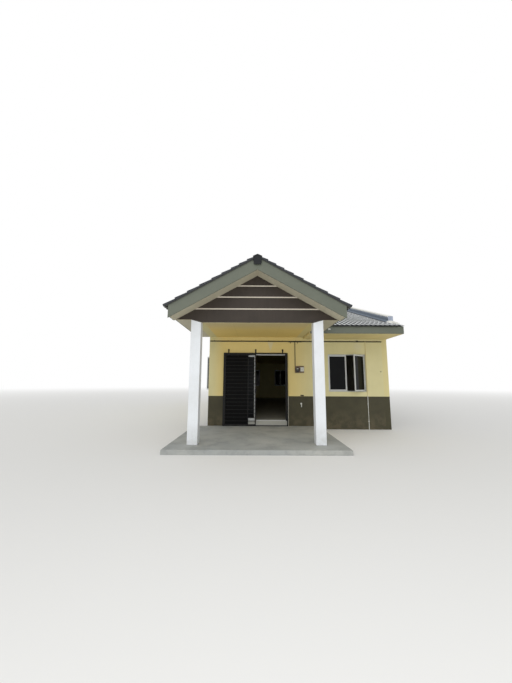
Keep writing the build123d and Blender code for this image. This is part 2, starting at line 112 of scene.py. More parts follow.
def shell(top, bottom):
    # Two grids of the same size, one over the other, closed round their four edges
    rows, columns = top.shape[:2]
    count = rows * columns
    index = np.arange(count).reshape(rows, columns)
    rim = np.concatenate([index[0, :-1], index[:-1, -1], index[-1, :0:-1], index[:0:-1, 0]])
    after = np.roll(rim, -1)
    wall = np.stack([rim, after, after + count, rim + count], -1)
    faces = np.concatenate([gridFaces(rows, columns), gridFaces(rows, columns, count)[:, ::-1], wall])
    return np.concatenate([top.reshape(-1, 3), bottom.reshape(-1, 3)]), faces


def loft(sections, closed=False):
    # A closed outline carried through its sections, with a flat face on each end
    sections = np.asarray(sections, float)
    count, corners = sections.shape[:2]
    index = np.arange(count * corners).reshape(count, corners)
    index = np.concatenate([index, index[:, :1]], 1)
    if closed:
        index = np.concatenate([index, index[:1]], 0)
    sides = np.stack([index[:-1, :-1], index[:-1, 1:], index[1:, 1:], index[1:, :-1]], -1).reshape(-1, 4)
    first, last = range(corners), range((count - 1) * corners, count * corners)
    ends = [] if closed else [list(first)[::-1], list(last)]
    return sections.reshape(-1, 3), sides.tolist() + ends


def joined(parts):
    # Several point and face lists as one
    points, faces, start = [], [], 0
    for some, lists in parts:
        points.append(np.asarray(some, float).reshape(-1, 3))
        faces += [[start + int(i) for i in face] for face in lists]
        start += len(points[-1])
    return np.concatenate(points), faces


def rod(start, end, radius, sides=10):
    # A circle carried from one point to the other
    start, end = np.array(start, float), np.array(end, float)
    along = (end - start) / np.linalg.norm(end - start)
    first = np.cross(along, (0.0, 0.0, 1.0) if abs(along[2]) < 0.9 else (1.0, 0.0, 0.0))
    first /= np.linalg.norm(first)
    second = np.cross(along, first)
    turn = np.linspace(0, 2 * np.pi, sides, endpoint=False)
    ring = radius * (np.cos(turn)[:, None] * first + np.sin(turn)[:, None] * second)
    return loft([start + ring, end + ring])


def around(middle, half):
    # Both ends of a length, from its middle
    return middle - half, middle + half


def bar3(x, y, z, edge=0.002):
    # An upright rectangle with clipped corners carried along Z, narrowed at both ends
    def outline(inset, level):
        x0, x1, y0, y1 = x[0] + inset, x[1] - inset, y[0] + inset, y[1] - inset
        clip = min(edge, (x1 - x0) / 3, (y1 - y0) / 3)
        front = [(x0 + clip, y0, level), (x1 - clip, y0, level), (x1, y0 + clip, level)]
        back = [(x1, y1 - clip, level), (x1 - clip, y1, level), (x0 + clip, y1, level)]
        return [*front, *back, (x0, y1 - clip, level), (x0, y0 + clip, level)]
    inset = min(edge, (z[1] - z[0]) / 3) * 0.5
    stations = ((inset, z[0]), (0, z[0] + inset), (0, z[1] - inset), (inset, z[1]))
    return loft([outline(*station) for station in stations])


def turnedOut(centre, profile, sides=32):
    # A profile of radius and depth turned round an axis that points out of the wall, along -Y
    profile = np.asarray(profile, float)
    turn = np.linspace(0, 2 * np.pi, sides, endpoint=False)
    x = centre[0] + profile[:, :1] * np.cos(turn)
    z = centre[2] + profile[:, :1] * np.sin(turn)
    y = centre[1] - np.repeat(profile[:, 1:], sides, 1)
    return loft(np.stack([x, y, z], -1))


class Signal:
    # One socket of a node tree: sums and products of signals add Math nodes to the tree
    def __init__(self, tree, socket):
        self.tree, self.socket = tree, socket

    def make(self, kind, settings=None, inputs=None, out=0):
        # Any other node, with its settings, what goes into it and the outlet that is used
        node = self.tree.nodes.new(kind)
        for key, value in (settings or {}).items():
            setattr(node, key, value)
        for key, value in (inputs or {}).items():
            if isinstance(value, Signal):
                self.tree.links.new(value.socket, node.inputs[key])
            else:
                node.inputs[key].default_value = value
        return Signal(self.tree, node.outputs[out])

    def maths(self, operation, *others):
        # A Math node whose first input is this signal
        return self.make("ShaderNodeMath", {"operation": operation}, dict(enumerate((self, *others))))

    def __add__(self, other):
        return self.maths("ADD", other)

    def __sub__(self, other):
        return self.maths("SUBTRACT", other)

    def __mul__(self, other):
        return self.maths("MULTIPLY", other)

    def __truediv__(self, other):
        return self.maths("DIVIDE", other)

    def __rsub__(self, other):
        return self.make("ShaderNodeMath", {"operation": "SUBTRACT"}, {0: other, 1: self})

    __radd__ = __add__
    __rmul__ = __mul__

    def least(self, other):
        return self.maths("MINIMUM", other)

    def most(self, other):
        return self.maths("MAXIMUM", other)

    def size(self):
        # The value without its sign
        return self.maths("ABSOLUTE")

    def over(self, edge, soft=0.002):
        # 0 below the edge, 1 above it, smooth across it
        inputs = {0: self, 1: edge - soft, 2: edge + soft}
        return self.make("ShaderNodeMapRange", {"interpolation_type": "SMOOTHSTEP"}, inputs)

    def under(self, edge, soft=0.002):
        return 1 - self.over(edge, soft)

    def axes(self):
        # X, Y and Z as signals of their own
        split = self.make("ShaderNodeSeparateXYZ", None, {0: self}).socket.node
        return [Signal(self.tree, socket) for socket in split.outputs]

    def stretched(self, scale):
        # A place multiplied on each axis, which draws out the noise made from it
        return self.make("ShaderNodeVectorMath", {"operation": "MULTIPLY"}, {0: self, 1: scale})

    def noise(self, scale, detail=3.0, roughness=0.55):
        inputs = {"Vector": self, "Scale": scale, "Detail": detail, "Roughness": roughness}
        return self.make("ShaderNodeTexNoise", None, inputs)

    def blend(self, first, second):
        # This signal is the share of the second colour
        return self.make("ShaderNodeMix", {"data_type": "RGBA"}, {0: self, 6: first, 7: second}, 2)

    def lit(self, amount):
        # A colour made lighter or darker
        inputs = {0: self, "Scale": amount}
        return self.make("ShaderNodeVectorMath", {"operation": "SCALE"}, inputs)


def tone(red, green, blue):
    # A colour as it looks on a screen, 0 to 255, in the renderer's own scale
    values = np.array([red, green, blue]) / 255
    linear = np.where(values <= 0.04045, values / 12.92, ((values + 0.055) / 1.055) ** 2.4)
    return (*linear.tolist(), 1.0)


def looks(**values):
    # The values of one finish: its colours, given as on a screen, become tones, and numbers stay
    return {key: tone(*value) if isinstance(value, tuple) else value for key, value in values.items()}


def newFinish(name, **sockets):
    # A material, the object's own coordinates in it, and a function that feeds its shader
    material = bpy.data.materials.new(name)
    material.use_nodes = True
    tree = material.node_tree
    shader = tree.nodes["Principled BSDF"]
    for key, value in sockets.items():
        shader.inputs[key.replace("_", " ")].default_value = value
    place = Signal(tree, tree.nodes.new("ShaderNodeTexCoord").outputs["Object"])

    def feed(**signals):
        for key, signal in signals.items():
            if key == "height":
                inputs = {"Strength": 1.0, "Distance": signal[0], "Height": signal[1]}
                bump = place.make("ShaderNodeBump", None, inputs)
                tree.links.new(bump.socket, shader.inputs["Normal"])
            else:
                tree.links.new(signal.socket, shader.inputs[key.replace("_", " ")])
    return material, place, feed


def brushMarks(place, stipple=0.3):
    # What a brush or roller leaves on paint: fine stipple over low waves
    return place.noise(160.0, 2.0) * stipple + place.noise(9.0, 3.0)


def belowDado(z):
    # 1 on what lies below the dado's top edge
    return z.under(dadoTop, 0.0015)


def wallFinish():
    # Cream wall over a dark dado, with a pale strip beside the door, mended places, splashed mud and painted
    # warm light under the porch
    look = looks(wedgeX=0.46, wedgeFoot=2.5, wedgeTop=2.8, spotX=3.36, spotZ=2.66,
                 cream=(209, 201, 153), warm=(216, 208, 163), rich=(226, 202, 128),
                 dado=(65, 62, 48), olive=(75, 72, 55), strip=(226, 222, 205),
                 patch=(208, 203, 178), splash=(112, 102, 82), stripAt=1.031, stripHalf=0.009)
    material, place, feed = newFinish("wallPaint", Roughness=0.72, Specular_IOR_Level=0.3)
    x, y, z = place.axes()
    front = y.under(wallSkin)
    outside = front.most(x.under(roof["left"] + wallSkin)).most(y.over(roof["depth"] - wallSkin))
    strip = (x - look["stripAt"]).size().under(look["stripHalf"]) * front * belowDado(z)
    dado = outside * belowDado(z)
    cloud = place.noise(1.3, 5.0, 0.6)
    streak = place.stretched((9.0, 9.0, 0.5)).noise(1.6, 4.0, 0.6)
    mottle = 0.9 + cloud * 0.14 + streak * 0.06
    # A mended triangle over the door and a round one beside the window
    wedge = ((x - look["wedgeX"]).size() * 3.1 - (z - look["wedgeFoot"])).under(0.0, 0.05)
    wedge = wedge * z.under(look["wedgeTop"], 0.02) * z.over(look["wedgeFoot"], 0.03)
    spotX, spotZ = x - look["spotX"], z - look["spotZ"]
    spot = (spotX * spotX + spotZ * spotZ).maths("SQRT").under(0.12, 0.09)
    mended = (wedge * 0.55 + spot * 0.45).least(1.0) * front
    splash = z.under(0.42, 0.3) * place.noise(5.0, 5.0, 0.65).over(0.5, 0.12) * outside
    cream = (cloud.over(0.5, 0.3) * 0.5).blend(look["cream"], look["warm"])
    # Painted light: under the porch the cream is tinted richer and warmer, standing in for warm light bounced
    # off the porch floor
    porchBounceArea = x.under(1.5, 0.5) * x.over(-1.3, 0.25) * front
    cream = (porchBounceArea * 0.75).blend(cream, look["rich"])
    cream = mended.blend(cream, look["patch"])
    olive = place.noise(2.4, 5.0, 0.6).over(0.5, 0.3).blend(look["dado"], look["olive"])
    colour = strip.blend(dado.blend(cream, olive), look["strip"])
    colour = (splash * 0.35).blend(colour, look["splash"]).lit(mottle)
    stipple = place.noise(190.0, 2.0) * 0.35 + place.noise(7.0, 3.0) * 1.4
    feed(Base_Color=colour, Roughness=0.66 + cloud * 0.14, height=(0.0022, stipple))
    return material


def paintFinish(name, colour, worn, roughness=0.5, grime=0.0, stipple=0.3):
    # Brushed paint: slow drifts of tone, small worn spots, and grime on what is low
    look = looks(grime=(128, 118, 98))
    material, place, feed = newFinish(name, Roughness=roughness, Specular_IOR_Level=0.35)
    z = place.axes()[2]
    cloud = place.noise(2.1, 5.0, 0.6)
    fine = place.noise(31.0, 4.0, 0.6)
    shade = cloud.over(0.52, 0.25) * 0.6 + fine.over(0.62, 0.1) * 0.25
    mix = shade.blend(tone(*colour), tone(*worn))
    if grime:
        foot = z.under(0.34, 0.26) * place.noise(9.0, 5.0, 0.65).over(0.46, 0.16)
        mix = (foot * grime).blend(mix, look["grime"])
    feed(Base_Color=mix, Roughness=roughness - 0.06 + fine * 0.12,
         height=(0.0012, brushMarks(place, stipple)))
    return material


def gableFinish():
    # Dark brown paint on the gable, pale on its underside as on the ceiling behind it
    look = looks(brown=(53, 47, 41), faded=(64, 56, 50), underside=(216, 202, 160))
    material, place, feed = newFinish("gablePaint", Roughness=0.6, Specular_IOR_Level=0.35)
    upright = place.make("ShaderNodeNewGeometry", None, None, 1).axes()[2]
    cloud = place.noise(2.1, 5.0, 0.6)
    fine = place.noise(31.0, 4.0, 0.6)
    streak = place.stretched((8.0, 8.0, 0.7)).noise(2.2, 4.0, 0.6)
    worn = cloud.over(0.52, 0.25) * 0.6 + streak.over(0.56, 0.14) * 0.3
    brown = worn.blend(look["brown"], look["faded"])
    feed(Base_Color=upright.under(-0.5, 0.1).blend(brown, look["underside"]),
         Roughness=0.54 + fine * 0.12, height=(0.0012, brushMarks(place)))
    return material


def soffitFinish():
    # Ceiling boards with faint board joints, and painted light: richer and warmer deep in the porch for warm
    # bounced light, greyer by its open front for cool sky light
    look = looks(board=(226, 208, 146), dull=(214, 197, 142), open=(206, 188, 142),
                 rich=(232, 202, 118), joint=(150, 132, 86),
                 jointY=-1.25, jointX=0.61, jointHalf=0.0025)
    material, place, feed = newFinish("soffitPaint", Roughness=0.65, Specular_IOR_Level=0.3)
    x, y, z = place.axes()
    cloud = place.noise(1.7, 5.0, 0.6)
    fine = place.noise(31.0, 4.0, 0.6)
    plain = cloud.over(0.5, 0.3).blend(look["board"], look["dull"])
    deep = x.size().under(1.33) * z.over(2.96)
    # Painted light: greyer towards the porch's open front, warmer and richer further in
    tint = y.over(-1.7, 0.6).blend(look["open"], look["rich"])
    off = ((y - look["jointY"]).size(), (x.size() - look["jointX"]).size())
    joint = (off[0].under(look["jointHalf"], 0.001) + off[1].under(look["jointHalf"], 0.001)) * deep
    colour = (deep * 0.8).blend(plain, tint)
    colour = (joint.least(1.0) * 0.35).blend(colour, look["joint"])
    feed(Base_Color=colour, Roughness=0.6 + fine * 0.12,
         height=(0.0012, place.noise(160.0, 2.0) * 0.3 + cloud - joint))
    return material


def partyFinish():
    # Plain render on the shared side, wall paint on its street end, pale paint on the fin, and near-white on
    # its upward faces: white capping and a painted sunlit highlight
    look = looks(render=(150, 148, 140), light=(168, 166, 156), wall=(213, 202, 149),
                 dado=(73, 70, 54), fin=(172, 180, 196), streak=(136, 146, 164), top=(238, 238, 233))
    material, place, feed = newFinish("partyPaint", Roughness=0.78, Specular_IOR_Level=0.25)
    y, z = place.axes()[1:]
    upright = place.make("ShaderNodeNewGeometry", None, None, 1).axes()[2]
    cloud = place.noise(1.1, 5.0, 0.6)
    streak = place.stretched((7.0, 7.0, 0.6)).noise(1.9, 5.0, 0.65)
    ends = y.under(wallSkin).most(y.over(roof["depth"] - wallSkin)) * z.under(2.96, 0.002)
    body = cloud.over(0.5, 0.3).blend(look["render"], look["light"])
    street = belowDado(z).blend(look["wall"], look["dado"])
    tileLevel = mainRidge - (y - ridgeY).size() * mainSlope
    over = (z - tileLevel).over(-0.045, 0.004)
    fin = streak.over(0.52, 0.18).blend(look["fin"], look["streak"])
    # Upward faces near-white: partly the white capping, partly a painted sunlit highlight
    fin = upright.over(0.4, 0.1).blend(fin, look["top"])
    colour = over.blend(body, fin)
    colour = ends.blend(colour, street).lit(0.93 + cloud * 0.12)
    feed(Base_Color=colour, height=(0.003, place.noise(120.0, 3.0) * 0.4 + place.noise(6.0, 4.0)))
    return material


def tileFinish():
    # Concrete tiles: a tone for each tile and lichen, with painted light and shade by the rolls' shape: pale
    # crests are painted highlight, darker flanks and near-black pans painted shade (the pans partly grime),
    # and a painted shade band under each lap
    look = looks(crest=(226, 229, 229), face=(116, 120, 124), pan=(31, 33, 37), old=(112, 114, 106))
    material, place, feed = newFinish("tileConcrete", Roughness=0.78, Specular_IOR_Level=0.3)
    uv = place.make("ShaderNodeUVMap")
    across, up = uv.axes()[:2]
    cell = place.make("ShaderNodeCombineXYZ", None,
                      {0: (across * 0.5).maths("FLOOR"), 1: up.maths("FLOOR")})
    own = place.make("ShaderNodeTexWhiteNoise", {"noise_dimensions": "2D"}, {0: cell})
    rise = place.make("ShaderNodeAttribute", {"attribute_name": "rise"}, None, 2)
    within = up - up.maths("FLOOR")
    cloud = place.noise(0.7, 5.0, 0.6)
    grit = place.noise(45.0, 4.0, 0.7)
    # Painted highlight on the crests, painted shade on the flanks and the pans; the pans are partly grime too
    crest = rise.over(0.66, 0.17)
    colour = crest.blend(look["face"], look["crest"])
    colour = (rise.under(0.52, 0.2) * 0.97).blend(colour, look["pan"])
    # Painted shade: a darker band at the top of each course, under the lap of the tile above
    colour = (within.over(0.94, 0.05) * 0.25).blend(colour, look["pan"])
    colour = (cloud.over(0.56, 0.1) * grit.over(0.5, 0.2) * 0.55).blend(colour, look["old"])
    colour = colour.lit(0.89 + own * 0.13 + grit * 0.1)
    feed(Base_Color=colour, Roughness=0.7 + grit * 0.2, height=(0.0016, grit + place.noise(220.0, 2.0) * 0.5))
    return material


def concreteFinish():
    # Trowelled cement: drifts, darker damp marks and fine sand
    look = looks(cement=(150, 154, 153), dry=(176, 177, 172), damp=(118, 122, 120),
                 step=(172, 170, 158))
    material, place, feed = newFinish("cementFloor", Roughness=0.8, Specular_IOR_Level=0.3)
    z = place.axes()[2]
    cloud = place.noise(0.8, 6.0, 0.6)
    damp = place.noise(2.6, 6.0, 0.7).over(0.56, 0.12)
    sand = place.noise(90.0, 3.0, 0.6)
    colour = cloud.over(0.5, 0.25).blend(look["cement"], look["dry"])
    colour = (damp * 0.4).blend(colour, look["damp"])
    # The step's upright face is paler than the porch floor
    colour = (z.over(0.13, 0.02) * 0.6).blend(colour, look["step"]).lit(0.92 + sand * 0.14)
    feed(Base_Color=colour, Roughness=0.7 + cloud * 0.2, height=(0.0014, sand * 0.5 + cloud * 2))
    return material


def metalFinish(name, colour, streaky, metallic, roughness, dust=0.2, scale=14.0, shine=0.5):
    # Drawn or coated metal: fine upright brushing with a little dust
    material, place, feed = newFinish(name, Metallic=metallic, Roughness=roughness, Specular_IOR_Level=shine)
    brush = place.stretched((60.0, 60.0, 1.5)).noise(scale * 0.2, 3.0)
    cloud = place.noise(scale, 4.0, 0.6)
    shade = (brush * 0.6 + cloud.over(0.56, 0.14) * dust).least(1.0)
    feed(Base_Color=shade.blend(tone(*colour), tone(*streaky)), Roughness=roughness - 0.08 + cloud * 0.2,
         height=(0.0004, brush + cloud * 0.5))
    return material


def glassFinish():
    # Near-black opaque glass with a trace of dust: the glass's tint and the painted shade of the dark rooms
    # behind it
    look = looks(glass=(9, 10, 12), dust=(16, 18, 19))
    material, place, feed = newFinish("darkGlass", Roughness=0.05, Specular_IOR_Level=0.1)
    dust = place.noise(4.0, 5.0, 0.7).over(0.5, 0.3)
    feed(Base_Color=dust.blend(look["glass"], look["dust"]), Roughness=0.04 + dust * 0.08)
    return material


def meterFinish():
    # One board with two fittings: brown board, dark round meter, white breaker box
    look = looks(board=(126, 104, 78), grain=(98, 80, 60), meter=(52, 48, 46), glint=(66, 60, 56),
                 box=(206, 206, 198), stain=(176, 174, 164), boardFace=-0.026, between=1.413)
    material, place, feed = newFinish("meterPlastic", Roughness=0.42, Coat_Weight=0.1)
    x, y = place.axes()[:2]
    proud = y.under(look["boardFace"], 0.0006)
    right = x.over(look["between"], 0.002)
    grain = place.stretched((2.0, 30.0, 14.0)).noise(3.0, 5.0, 0.6)
    board = grain.over(0.5, 0.2).blend(look["board"], look["grain"])
    meter = place.noise(40.0, 3.0).blend(look["meter"], look["glint"])
    box = place.noise(25.0, 4.0).over(0.6, 0.15).blend(look["box"], look["stain"])
    colour = proud.blend(board, right.blend(meter, box))
    feed(Base_Color=colour, Roughness=0.4 + grain * 0.15, height=(0.0005, grain))
    return material


def doorFinish():
    # Painted timber: upright grain
    look = looks(brown=(104, 74, 52), grain=(84, 58, 42))
    material, place, feed = newFinish("rearDoorPaint", Roughness=0.5)
    grain = place.stretched((26.0, 26.0, 1.2)).noise(2.0, 5.0, 0.6)
    feed(Base_Color=grain.over(0.5, 0.25).blend(look["brown"], look["grain"]),
         Roughness=0.42 + grain * 0.16, height=(0.0008, grain))
    return material


def sheathFinish(name, colour, dusty):
    # Rubber or plastic: even tone with patches of dust
    material, place, feed = newFinish(name, Roughness=0.5)
    cloud = place.noise(30.0, 4.0, 0.6)
    feed(Base_Color=cloud.over(0.58, 0.12).blend(tone(*colour), tone(*dusty)), Roughness=0.42 + cloud * 0.2,
         height=(0.0003, cloud))
    return material


def conduitFinish():
    # White pipe that was painted over with the wall above the dado
    look = looks(pipe=(216, 218, 212), dusty=(176, 174, 160), painted=(206, 192, 142))
    material, place, feed = newFinish("conduitPlastic", Roughness=0.5)
    z = place.axes()[2]
    cloud = place.noise(18.0, 4.0, 0.6)
    white = cloud.over(0.58, 0.12).blend(look["pipe"], look["dusty"])
    feed(Base_Color=z.over(dadoTop + 0.03, 0.01).blend(white, look["painted"]), height=(0.0004, cloud))
    return material


def doorFrameFinish():
    # Aluminium head and sill; the jambs and the frame's left part below the head are near-black
    look = looks(metal=(206, 208, 206), brushed=(186, 188, 186), black=(16, 16, 17),
                 rightJamb=0.948, leftJamb=-1.0, head=2.362, middle=-0.3)
    material, place, feed = newFinish("doorFrameMetal", Roughness=0.42)
    x, z = place.axes()[::2]
    brush = place.stretched((60.0, 60.0, 1.5)).noise(2.8, 3.0)
    leftHalf = z.under(look["head"]) * x.under(look["middle"])
    # Near-black on the jambs and on the left part below the head
    jamb = x.over(look["rightJamb"]).most(x.under(look["leftJamb"])).most(leftHalf)
    pale = brush.blend(look["metal"], look["brushed"])
    feed(Base_Color=jamb.blend(pale, look["black"]), Metallic=(1 - jamb) * 0.35,
         height=(0.0004, brush))
    return material


def foilFinish():
    # The felt under the tiles: dull grey with paler patches
    look = looks(dull=(70, 70, 70), pale=(104, 104, 102))
    material, place, feed = newFinish("roofUnderlay", Roughness=0.6, Metallic=0.4)
    cloud = place.noise(8.0, 4.0, 0.6)
    feed(Base_Color=cloud.blend(look["dull"], look["pale"]), height=(0.001, cloud))
    return material


finishes = {
    "wall_paint": wallFinish(),
    "column_paint": paintFinish("columnPaint", (228, 232, 236), (214, 217, 218), 0.55, 0.2),
    "gable_paint": gableFinish(),
    "party_paint": partyFinish(),
    "trim_paint": paintFinish("trimPaint", (196, 190, 168), (182, 174, 150), 0.6),
    "roof_tile": tileFinish(),
    "fascia_paint": paintFinish("fasciaPaint", (97, 102, 91), (108, 112, 99), 0.5),
    "soffit_board": soffitFinish(),
    "concrete": concreteFinish(),
    "aluminium": metalFinish("aluminium", (206, 208, 206), (184, 186, 184), 0.35, 0.42),
    "glass": glassFinish(),
    "black_steel": metalFinish("blackSteel", (19, 20, 22), (29, 29, 28), 0.0, 0.5, 0.4, shine=0.3),
    "door_paint": doorFinish(),
    "meter_plastic": meterFinish(),
    "cable_sheath": sheathFinish("cableSheath", (30, 28, 26), (58, 52, 44)),
    "white_plastic": sheathFinish("whitePlastic", (224, 226, 222), (196, 194, 184)),
}
mortar = paintFinish("mortar", (186, 184, 176), (158, 156, 148), 0.85, 0.0, 1.2)
darkMortar = paintFinish("darkMortar", (96, 96, 91), (78, 78, 74), 0.85, 0.0, 1.2)
whiteMortar = paintFinish("whiteMortar", (232, 232, 226), (204, 204, 196), 0.85, 0.0, 1.2)
flashing = metalFinish("flashing", (118, 130, 144), (96, 106, 118), 0.25, 0.5, 0.4)
capFinish = paintFinish("ridgeCapConcrete", (70, 72, 75), (90, 92, 94), 0.75, 0.0, 1.0)
vergeFinish = paintFinish("vergeTileConcrete", (50, 53, 57), (70, 72, 74), 0.75, 0.0, 1.0)
endCapFinish = paintFinish("endCapConcrete", (28, 30, 33), (42, 43, 44), 0.75, 0.0, 1.0)
conduit = conduitFinish()
screenFinish = metalFinish("blackScreen", (4, 4, 5), (9, 9, 9), 0.0, 0.6, 0.3, shine=0.12)
handleFinish = metalFinish("handleMetal", (168, 170, 170), (134, 134, 132), 0.6, 0.38, 0.4, 40.0)
meterDark = sheathFinish("meterDark", (48, 45, 43), (70, 66, 60))
counterFinish = sheathFinish("counterWhite", (208, 206, 196), (180, 176, 160))
breakerFinish = sheathFinish("breakerWhite", (208, 208, 200), (198, 196, 186))
underlay = foilFinish()
doorFrame = doorFrameFinish()
stripFinish = paintFinish("gableStripPaint", (212, 204, 190), (194, 186, 170), 0.6)
ownFinish = {"door_frame": doorFrame, "gable_strips": stripFinish}

# Every node's own slot takes its finish, and slotNames keeps which slot each node has
slotNames = {}
for nodeName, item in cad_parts.items():
    for slot in item.material_slots:
        key = slot.material.name.split(".")[0]
        slotNames[nodeName] = key
        slot.material = ownFinish.get(nodeName, finishes[key])
print("finishes ready")


# Roof tiles: rolls across each slope, courses up it
tiles = {"roll": 0.138, "course": 0.307, "depth": 0.03, "lap": 0.011, "thick": 0.011, "steps": 10,
         "sharp": 1.15}
valleyGap = 0.035
mainUp = np.array([0, cos(radians(roof["mainPitch"])), sin(radians(roof["mainPitch"]))])
mainNormal = np.array([0, -mainUp[2], mainUp[1]])
porchUp = np.array([cos(radians(roof["porchPitch"])), 0, sin(radians(roof["porchPitch"]))])
mainLength = (ridgeY - roof["mainEave"]) / mainUp[1]
porchLength = roof["porchReach"] / porchUp[0]
# Where the courses start, up each slope: even ones, and shorter ones near the porch ridge
mainCourses = np.append(np.arange(0, mainLength - 0.1, tiles["course"]), mainLength)
porchCourses = np.array([0, 0.307, 0.614, 0.921, 1.228, 1.48, 1.724, 1.93, 2.14, porchLength])


def addSheets(name, sheets, node):
    # Sheets of tiles joined as the piece that replaces a node
    points = np.concatenate([sheet["points"] for sheet in sheets])
    starts = np.cumsum([0] + [len(sheet["points"]) for sheet in sheets[:-1]])
    faces = np.concatenate([sheet["faces"] + start for sheet, start in zip(sheets, starts)])
    uv = np.concatenate([sheet["uv"] for sheet in sheets])
    rise = np.concatenate([sheet["rise"] for sheet in sheets])
    piece = makePiece(name, points, faces, finishes["roof_tile"], "roof_tile", uv=uv, rise=rise, soften=50)
    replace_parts(piece, node)
    print(name, len(piece.data.polygons), "faces")


def courseRows(lines, between=1):
    # Two rows at each course line, and some between on slopes that a valley cuts askew
    share = np.linspace(0, 1, between + 1)
    share[0], share[-1] = 1e-6, 1 - 1e-6
    return lines[:-1, None] + np.diff(lines)[:, None] * share


def courseAt(s, lines):
    # How many courses lie below a height up the slope, with the part of its own as the fraction
    return np.interp(s, lines, np.arange(len(lines)))


def acrossColumns(low, high, start):
    # Columns at even parts of a roll, counted from a crest, with one at each end of the slope
    step = tiles["roll"] / tiles["steps"]
    first, last = np.ceil((low - start) / step + 0.2), np.floor((high - start) / step - 0.2)
    return np.concatenate([[low], start + np.arange(first, last + 1) * step, [high]])


def rollWave(along, crest):
    # 1 on a roll's crest and 0 in the pan: (0.5 + 0.5 cos) to the power sharp
    return (0.5 + 0.5 * np.cos(2 * np.pi * (along - crest) / tiles["roll"])) ** tiles["sharp"]


def slopeSheet(across, rows, lines, start, clipUp, clipAcross, place, normal):
    # Height = -depth (1 - wave) - lap times the share of its course that lies below; clipUp gives
    # where the tiles begin on each column and clipAcross where they end on each row
    u, s = np.meshgrid(across, rows.ravel())
    course = np.floor(courseAt(rows.mean(1), lines))[:, None] * np.ones(rows.shape[1])
    course = np.repeat(course.reshape(-1, 1), len(across), 1)
    u = np.minimum(u, clipAcross(s))
    lowest = clipUp(u)
    course = np.where(lowest > s, np.floor(courseAt(lowest, lines)), course)
    s = np.maximum(s, lowest)
    part = np.clip(courseAt(s, lines) - course, 0, 1)
    wave = rollWave(u, start)
    lift = -tiles["depth"] * (1 - wave) - tiles["lap"] * part
    top = place(u, s) + lift[..., None] * normal
    points, faces = shell(top, top - tiles["thick"] * normal)
    uv = np.stack([(u - start) / tiles["roll"] + 0.5, course + np.clip(part, 0.002, 0.998)], -1)
    return {"points": points, "faces": faces, "uv": np.tile(uv.reshape(-1, 2), (2, 1)),
            "rise": np.tile(wave.ravel(), 2)}


def frontPlace(u, s):
    # A point of the front slope: u across the house, s up the slope
    return np.stack([u, roof["mainEave"] + s * mainUp[1], roof["mainLevel"] + s * mainUp[2]], -1)


def rearPlace(u, s):
    # The same on the rear slope
    rear = roof["depth"] - roof["mainEave"]
    return np.stack([u, rear - s * mainUp[1], roof["mainLevel"] + s * mainUp[2]], -1)


def valleyY(x):
    # Where the porch tiles meet the main ones
    level = roof["porchLevel"] + (roof["porchReach"] - np.abs(x)) * porchSlope
    return (level - roof["mainLevel"]) / mainSlope + roof["mainEave"]


def mainStart(u):
    # Distance up the front slope at which its tiles begin, past the valley
    valley = valleyY(np.maximum(np.abs(u) - valleyGap, 0))
    y = np.where(np.abs(u) < roof["porchReach"], valley, roof["mainEave"])
    return np.maximum((y - roof["mainEave"]) / mainUp[1], 0)


def nowhere(value):
    # A lower limit that cuts nothing off
    return np.full_like(value, -1.0)


def anywhere(value):
    # An upper limit that cuts nothing off
    return np.full_like(value, 1e3)


mainCrest = roof["left"] + 0.005
mainRows = courseRows(mainCourses)
mainColumns = acrossColumns(roof["left"] - 0.027, roof["right"] - 0.001, mainCrest)
finRun = (-roof["finReach"] - roof["mainEave"]) / mainUp[1]  # how far up the slope the fin begins
finRows = courseRows(np.append(mainCourses[mainCourses < finRun - 0.05], finRun - 0.002))
finColumns = acrossColumns(roof["right"] - 0.001, roof["edge"] - 0.001, mainCrest)
rearNormal = mainNormal * np.array([1, -1, 1])


def mainSheets(name, node, start, place, normal):
    # The slope up to the fin, and the corner that runs on past the party line below the fin
    parts = ((mainColumns, mainRows, start), (finColumns, finRows, nowhere))
    addSheets(name, [slopeSheet(columns, rows, mainCourses, mainCrest, below, anywhere, place, normal)
                     for columns, rows, below in parts], node)


mainSheets("frontTiles", "main_roof_front", mainStart, frontPlace, mainNormal)
mainSheets("rearTiles", "main_roof_rear", nowhere, rearPlace, rearNormal)

porchCrest = roof["porchFront"] + 0.035
porchSplit = (roof["porchReach"] + roof["left"]) / porchUp[0]  # where the slope passes the house's corner
porchColumns = acrossColumns(roof["porchFront"], valleyY(0.0), porchCrest)


def porchNormal(sign):
    # The way out of the porch's left (-1) or right (1) slope
    return np.array([sign * porchUp[2], 0, porchUp[0]])


def porchPoint(y, s, sign):
    # A point of a porch slope: y along the ridge, s up the slope
    return np.stack(np.broadcast_arrays(sign * (roof["porchReach"] - s * porchUp[0]), y,
                                        roof["porchLevel"] + s * porchUp[2]), -1)


def porchInnerEnd(s, sign):
    # The left slope runs on to the house's front wall where it lies outside the main roof
    x = roof["porchReach"] - s * porchUp[0]
    return np.where((sign < 0) & (x > -roof["left"]), -0.002, valleyY(x) - valleyGap * 1.6)


def porchSheet(sign, rows):
    # The tiles of a porch slope between the rows given
    return slopeSheet(porchColumns, rows, porchCourses, porchCrest, nowhere, lambda s: porchInnerEnd(s, sign),
                      lambda y, s: porchPoint(y, s, sign), porchNormal(sign))


# The left slope is two sheets that meet level with the house's corner, where its inner end jumps
porchRows = courseRows(porchCourses, 6)
outerRows = np.minimum(porchRows, porchSplit - 1e-5)[porchRows.min(1) < porchSplit - 1e-3]
innerRows = np.maximum(porchRows, porchSplit + 1e-5)[porchRows.max(1) > porchSplit + 1e-3]
addSheets("porchTilesLeft", [porchSheet(-1, outerRows), porchSheet(-1, innerRows)], "porch_roof_left")
addSheets("porchTilesRight", [porchSheet(1, porchRows)], "porch_roof_right")
print("tiles laid")


